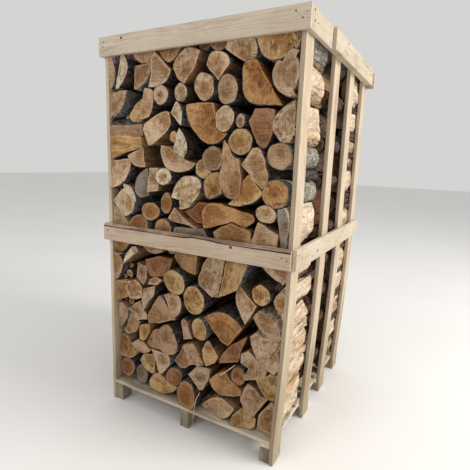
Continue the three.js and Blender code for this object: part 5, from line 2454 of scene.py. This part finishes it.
@dataclass
class NailsAndKnots:
    """Nail heads where the bands cross the slats, and the boards' larger knots."""

    nail: bpy.types.Material
    knot: bpy.types.Material
    seed: int = 61
    inset: float = 0.0001
    head: float = 0.0042
    head_proud: float = 0.0009
    head_sunk: float = 0.002
    knot_proud: float = 0.0006
    knot_sunk: float = 0.003
    knot_count: int = 20
    least_crossing: float = 0.012
    narrow_crossing: float = 0.03
    head_shares: Point = (0.26, 0.74)
    jitter: float = 0.004
    knot_oval: float = 1.25
    knots: tuple[tuple[Side, str, float, float, float], ...] = (
        (Side.FRONT, "top_band_front", -0.431, 2.130, 0.007),
        (Side.RIGHT, "top_band_right", -0.588, 2.132, 0.006),
        (Side.RIGHT, "top_band_right", -0.579, 2.096, 0.005),
        (Side.RIGHT, "top_band_right_lap", -0.084, 2.132, 0.007),
        (Side.FRONT, "middle_band_front", 0.266, 1.110, 0.008),
        (Side.RIGHT, "middle_band_right_front", -0.300, 1.082, 0.009),
        (Side.BACK, "middle_band_back", -0.220, 1.090, 0.012),
        (Side.BACK, "top_band_back", 0.330, 2.080, 0.011),
        (Side.LEFT, "top_band_left_lap", 0.150, 2.110, 0.011),
        (Side.LEFT, "middle_band_left", -0.330, 1.070, 0.010),
        (Side.LEFT, "slat_left_2", -0.105, 1.480, 0.010),
        (Side.LEFT, "slat_left_3", 0.220, 0.640, 0.012),
        (Side.LEFT, "slat_left_4", 0.570, 1.820, 0.009),
    )

    def _nails(self, side: Side, band: str, slat: str, random: np.random.Generator) -> list[Disc]:
        """Two nails where a band crosses a slat.

        Args:
            side: the side of the crate.
            band: the band's node.
            slat: the slat's node.
            random: source of the nails' uneven places.

        Returns:
            The nails' heads, or none where the two don't cross.
        """
        axis, direction = side.value
        (band_low, band_high), (slat_low, slat_high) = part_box(band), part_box(slat)
        run = 1 - axis
        low, high = max(band_low[run], slat_low[run]), min(band_high[run], slat_high[run])
        span = high - low
        if span < self.least_crossing:
            return []
        face = (band_high if direction > 0 else band_low)[axis]
        size = ((self.head, self.head), self.head_proud, self.head_sunk)
        heads = []
        for share in (0.5, 0.5) if span < self.narrow_crossing else self.head_shares:
            place = np.zeros(3)
            place[axis] = face - direction * (self.inset + self.head_proud)
            place[run] = low + span * share + random.uniform(-self.jitter, self.jitter)
            height = 0.25 + 0.5 * random.random()
            place[2] = band_low[2] + (band_high[2] - band_low[2]) * height
            heads.append(Disc(place, side, *size, random))
        return heads

    def build(self) -> None:
        """Builds the pieces."""
        random = np.random.default_rng(self.seed)
        sheet = PieceMesh()
        bands = [node for node in sorted(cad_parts) if "_band_" in node]
        slats = [node for node in sorted(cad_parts) if node.startswith("slat_")]
        heads: list[Disc] = []
        for band in bands:
            side = Side[band.split("_")[2].upper()]
            ends = {Side.FRONT: "_1", Side.BACK: "_4"}
            for slat in slats:
                crossing = slat.endswith(ends[side]) if side in ends else side.name.lower() in slat
                covered = f"{band}_lap" in bands and not slat.endswith("_1")
                if crossing and not covered:
                    heads.extend(self._nails(side, band, slat, random))
        for head in heads:
            head.add_to(sheet)
        sheet.build("nail_heads", [self.nail], "nail")
        REPORTS.info("nail heads: %d", len(heads))
        marks = PieceMesh()
        for side, node, run, height, size in self.knots:
            axis, direction = side.value
            low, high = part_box(node)
            place = np.zeros(3)
            place[axis] = (high if direction > 0 else low)[axis]
            place[axis] -= direction * (self.inset + self.knot_proud)
            place[1 - axis], place[2] = run, height
            half, depths = (size * self.knot_oval, size), (self.knot_proud, self.knot_sunk)
            Disc(place, side, half, *depths, random, self.knot_count).add_to(marks)
        marks.build("board_knots", [self.knot], "sawn_board")
        REPORTS.info("knots: %d", len(self.knots))


@dataclass
class Splinters:
    """Two long pale splinters that hang out of the stack. Their lines are in mm."""

    material: bpy.types.Material
    seed: int = 7
    steps: int = 10
    sides: int = 6
    flatness: float = 0.5
    paleness: float = 1.25
    tips: Point = (0.12, 0.9)
    widths: Point = (0.5, 2.0)
    taper_power: float = 0.7
    width_noise: float = 0.15
    lines: dict[str, tuple[Triple, ...]] = field(
        default_factory=lambda: {
            "splinter_low": ((91, -2, 262), (66, -3, 205), (58, -4, 150), (46, -5, 30)),
            "splinter_high": ((206, 14, 392), (262, 8, 448), (306, 2, 492)),
        }
    )

    def _curve(self, points: np.ndarray) -> np.ndarray:
        """A smooth line through points.

        Args:
            points: the points.

        Returns:
            The line's points.
        """
        ends = [2 * points[0] - points[1]], [2 * points[-1] - points[-2]]
        padded = np.concatenate([ends[0], points, ends[1]])
        line = []
        for index in range(len(points) - 1):
            a, b, c, d = padded[index:index + 4]
            square, cube = 2 * a - 5 * b + 4 * c - d, 3 * b - a - 3 * c + d
            for t in np.arange(self.steps) / self.steps:
                line.append(0.5 * (2 * b + (c - a) * t + square * t**2 + cube * t**3))
        return np.array(line + [points[-1]])

    def _rings(self, line: np.ndarray, width: np.ndarray) -> np.ndarray:
        """The sections along a line.

        Args:
            line: the line's points.
            width: half the width at each of them.

        Returns:
            One ring of points for each.
        """
        run = np.gradient(line, axis=0)
        run /= np.linalg.norm(run, axis=1)[:, None]
        side = np.cross(run, (0.0, 1.0, 0.0))
        side /= np.linalg.norm(side, axis=1)[:, None]
        front = np.cross(side, run)
        angle = (2 * math.pi * np.arange(self.sides) / self.sides)[None, :, None]
        across = side[:, None] * (np.cos(angle) * width[:, None, None])
        through = front[:, None] * (np.sin(angle) * (width * self.flatness)[:, None, None])
        return in_frame(line[:, None] + across + through)

    def build(self) -> None:
        """Builds both pieces."""
        random = np.random.default_rng(self.seed)
        tint = np.array([*(Tone.WHITISH.linear() * self.paleness), 0.0])
        for node, drawn in self.lines.items():
            line = self._curve(np.array(drawn, dtype=float))
            share = np.clip(np.linspace(0, 1, len(line)) * self.tips[1] + self.tips[0], 0, 1)
            taper = np.sin(np.pi * share) ** self.taper_power
            noise = random.normal(0, self.width_noise, len(line))
            rings = self._rings(line, self.widths[0] + self.widths[1] * taper + noise)
            surfaces = np.zeros((len(line) - 1, self.sides), dtype=int)
            skin = Skin(rings[0].mean(axis=0), rings, rings[-1].mean(axis=0), surfaces)
            sheet = PieceMesh()
            sheet.add(skin, skin.points() * (1.0, 1.0, 0.5), tint, np.array([0.2, 0.1, 1.0]))
            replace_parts(sheet.build(f"{node}_torn", [self.material], "splinter"), node)
        REPORTS.info("splinters: %d", len(self.lines))


# Studio


@dataclass(frozen=True)
class SoftLight:
    """A square soft light."""

    name: str
    place: Triple
    size: float
    power: float
    colour: Triple = (1.0, 1.0, 1.0)

    def add(self, aim: Triple) -> None:
        """Adds the light.

        Args:
            aim: the point that it looks at.
        """
        data = bpy.data.lights.new(self.name, "AREA")
        data.size = self.size
        data.energy = self.power
        data.color = self.colour
        light = bpy.data.objects.new(self.name, data)
        light.location = self.place
        light.rotation_mode = "QUATERNION"
        view = Vector(aim) - Vector(self.place)
        light.rotation_quaternion = view.to_track_quat("-Z", "Y")
        bpy.context.scene.collection.objects.link(light)


@dataclass(frozen=True)
class Studio:
    """The floor, the soft lights and the camera."""

    focal: float = 29.51
    sensor: float = 36.0
    clip: Point = (0.05, 200.0)
    place: Triple = (1.163606, -2.215642, 1.51805)
    pitch: float = 0.188
    yaw: float = 0.505
    roll: float = 0.036
    floor_size: float = 30.0
    floor_height: float = -0.0005
    aim: Triple = (0.0, 0.0, 1.0)
    lights: tuple[SoftLight, ...] = (
        SoftLight("side_key", (6.5, 1.0, 5.0), 3.0, 430.0, (1.0, 0.97, 0.92)),
        SoftLight("front_fill", (-2.5, -7.0, 5.5), 3.0, 110.0, (1.0, 0.98, 0.95)),
        SoftLight("top", (0.5, -1.0, 7.5), 4.0, 50.0),
    )
    surroundings: Colour = (1.0, 0.995, 0.985, 1.0)
    brightness: float = 0.66

    def _camera_axes(self) -> Matrix:
        """The camera's own axes in the frame.

        Returns:
            A matrix with the axes as its columns.
        """
        sin_y, cos_y = math.sin(self.yaw), math.cos(self.yaw)
        sin_p, cos_p = math.sin(self.pitch), math.cos(self.pitch)
        ahead = Vector((-sin_y * cos_p, cos_y * cos_p, -sin_p))
        right = Vector((cos_y, sin_y, 0.0))
        up = right.cross(ahead)
        x_axis = right * math.cos(self.roll) + up * math.sin(self.roll)
        y_axis = up * math.cos(self.roll) - right * math.sin(self.roll)
        return Matrix((x_axis, y_axis, -ahead)).transposed()

    def add_camera(self) -> None:
        """Adds the camera at the photograph's place."""
        data = bpy.data.cameras.new("camera")
        data.sensor_width = self.sensor
        data.lens = self.focal
        data.clip_start, data.clip_end = self.clip
        camera = bpy.data.objects.new("camera", data)
        camera.matrix_world = Matrix.Translation(self.place) @ self._camera_axes().to_4x4()
        bpy.context.scene.collection.objects.link(camera)
        bpy.context.scene.camera = camera

    def add_floor(self, material: bpy.types.Material) -> None:
        """Adds the plain floor.

        Args:
            material: its material.
        """
        half = self.floor_size
        mesh = bpy.data.meshes.new("floor")
        corners = [(-half, -half), (half, -half), (half, half), (-half, half)]
        mesh.from_pydata([(x, y, self.floor_height) for x, y in corners], [], [(0, 1, 2, 3)])
        mesh.materials.append(material)
        floor = bpy.data.objects.new("floor", mesh)
        bpy.context.scene.collection.objects.link(floor)

    def add_lights(self) -> None:
        """Adds the soft lights and the even surroundings."""
        for light in self.lights:
            light.add(self.aim)
        world = bpy.data.worlds.new("surroundings")
        world.use_nodes = True
        inputs = world.node_tree.nodes["Background"].inputs
        inputs["Color"].default_value = self.surroundings
        inputs["Strength"].default_value = self.brightness
        bpy.context.scene.world = world
        bpy.context.scene.view_settings.view_transform = "Standard"
        bpy.context.scene.view_settings.look = "None"


def main() -> None:
    """Builds the pallet of firewood and the studio around it."""
    logging.basicConfig(level=logging.INFO, format="%(name)s: %(message)s")
    sawn = [BOARD_FINISHES[surface].material() for surface in BoardSurface]
    wood = [finish.material() for finish in (CutEndFinish(), SplitFaceFinish(), BarkFinish())]
    CrateFrame(sawn, PALLET_FINISH.material()).build()
    Firewood(wood).build()
    CrosswiseLogs(wood).build()
    Splinters(wood[Surface.SPLIT.value]).build()
    NailsAndKnots(NailFinish().material(), KnotFinish().material()).build()
    studio = Studio()
    studio.add_floor(FloorFinish().material())
    studio.add_lights()
    studio.add_camera()


if __name__ == "__main__":
    main()
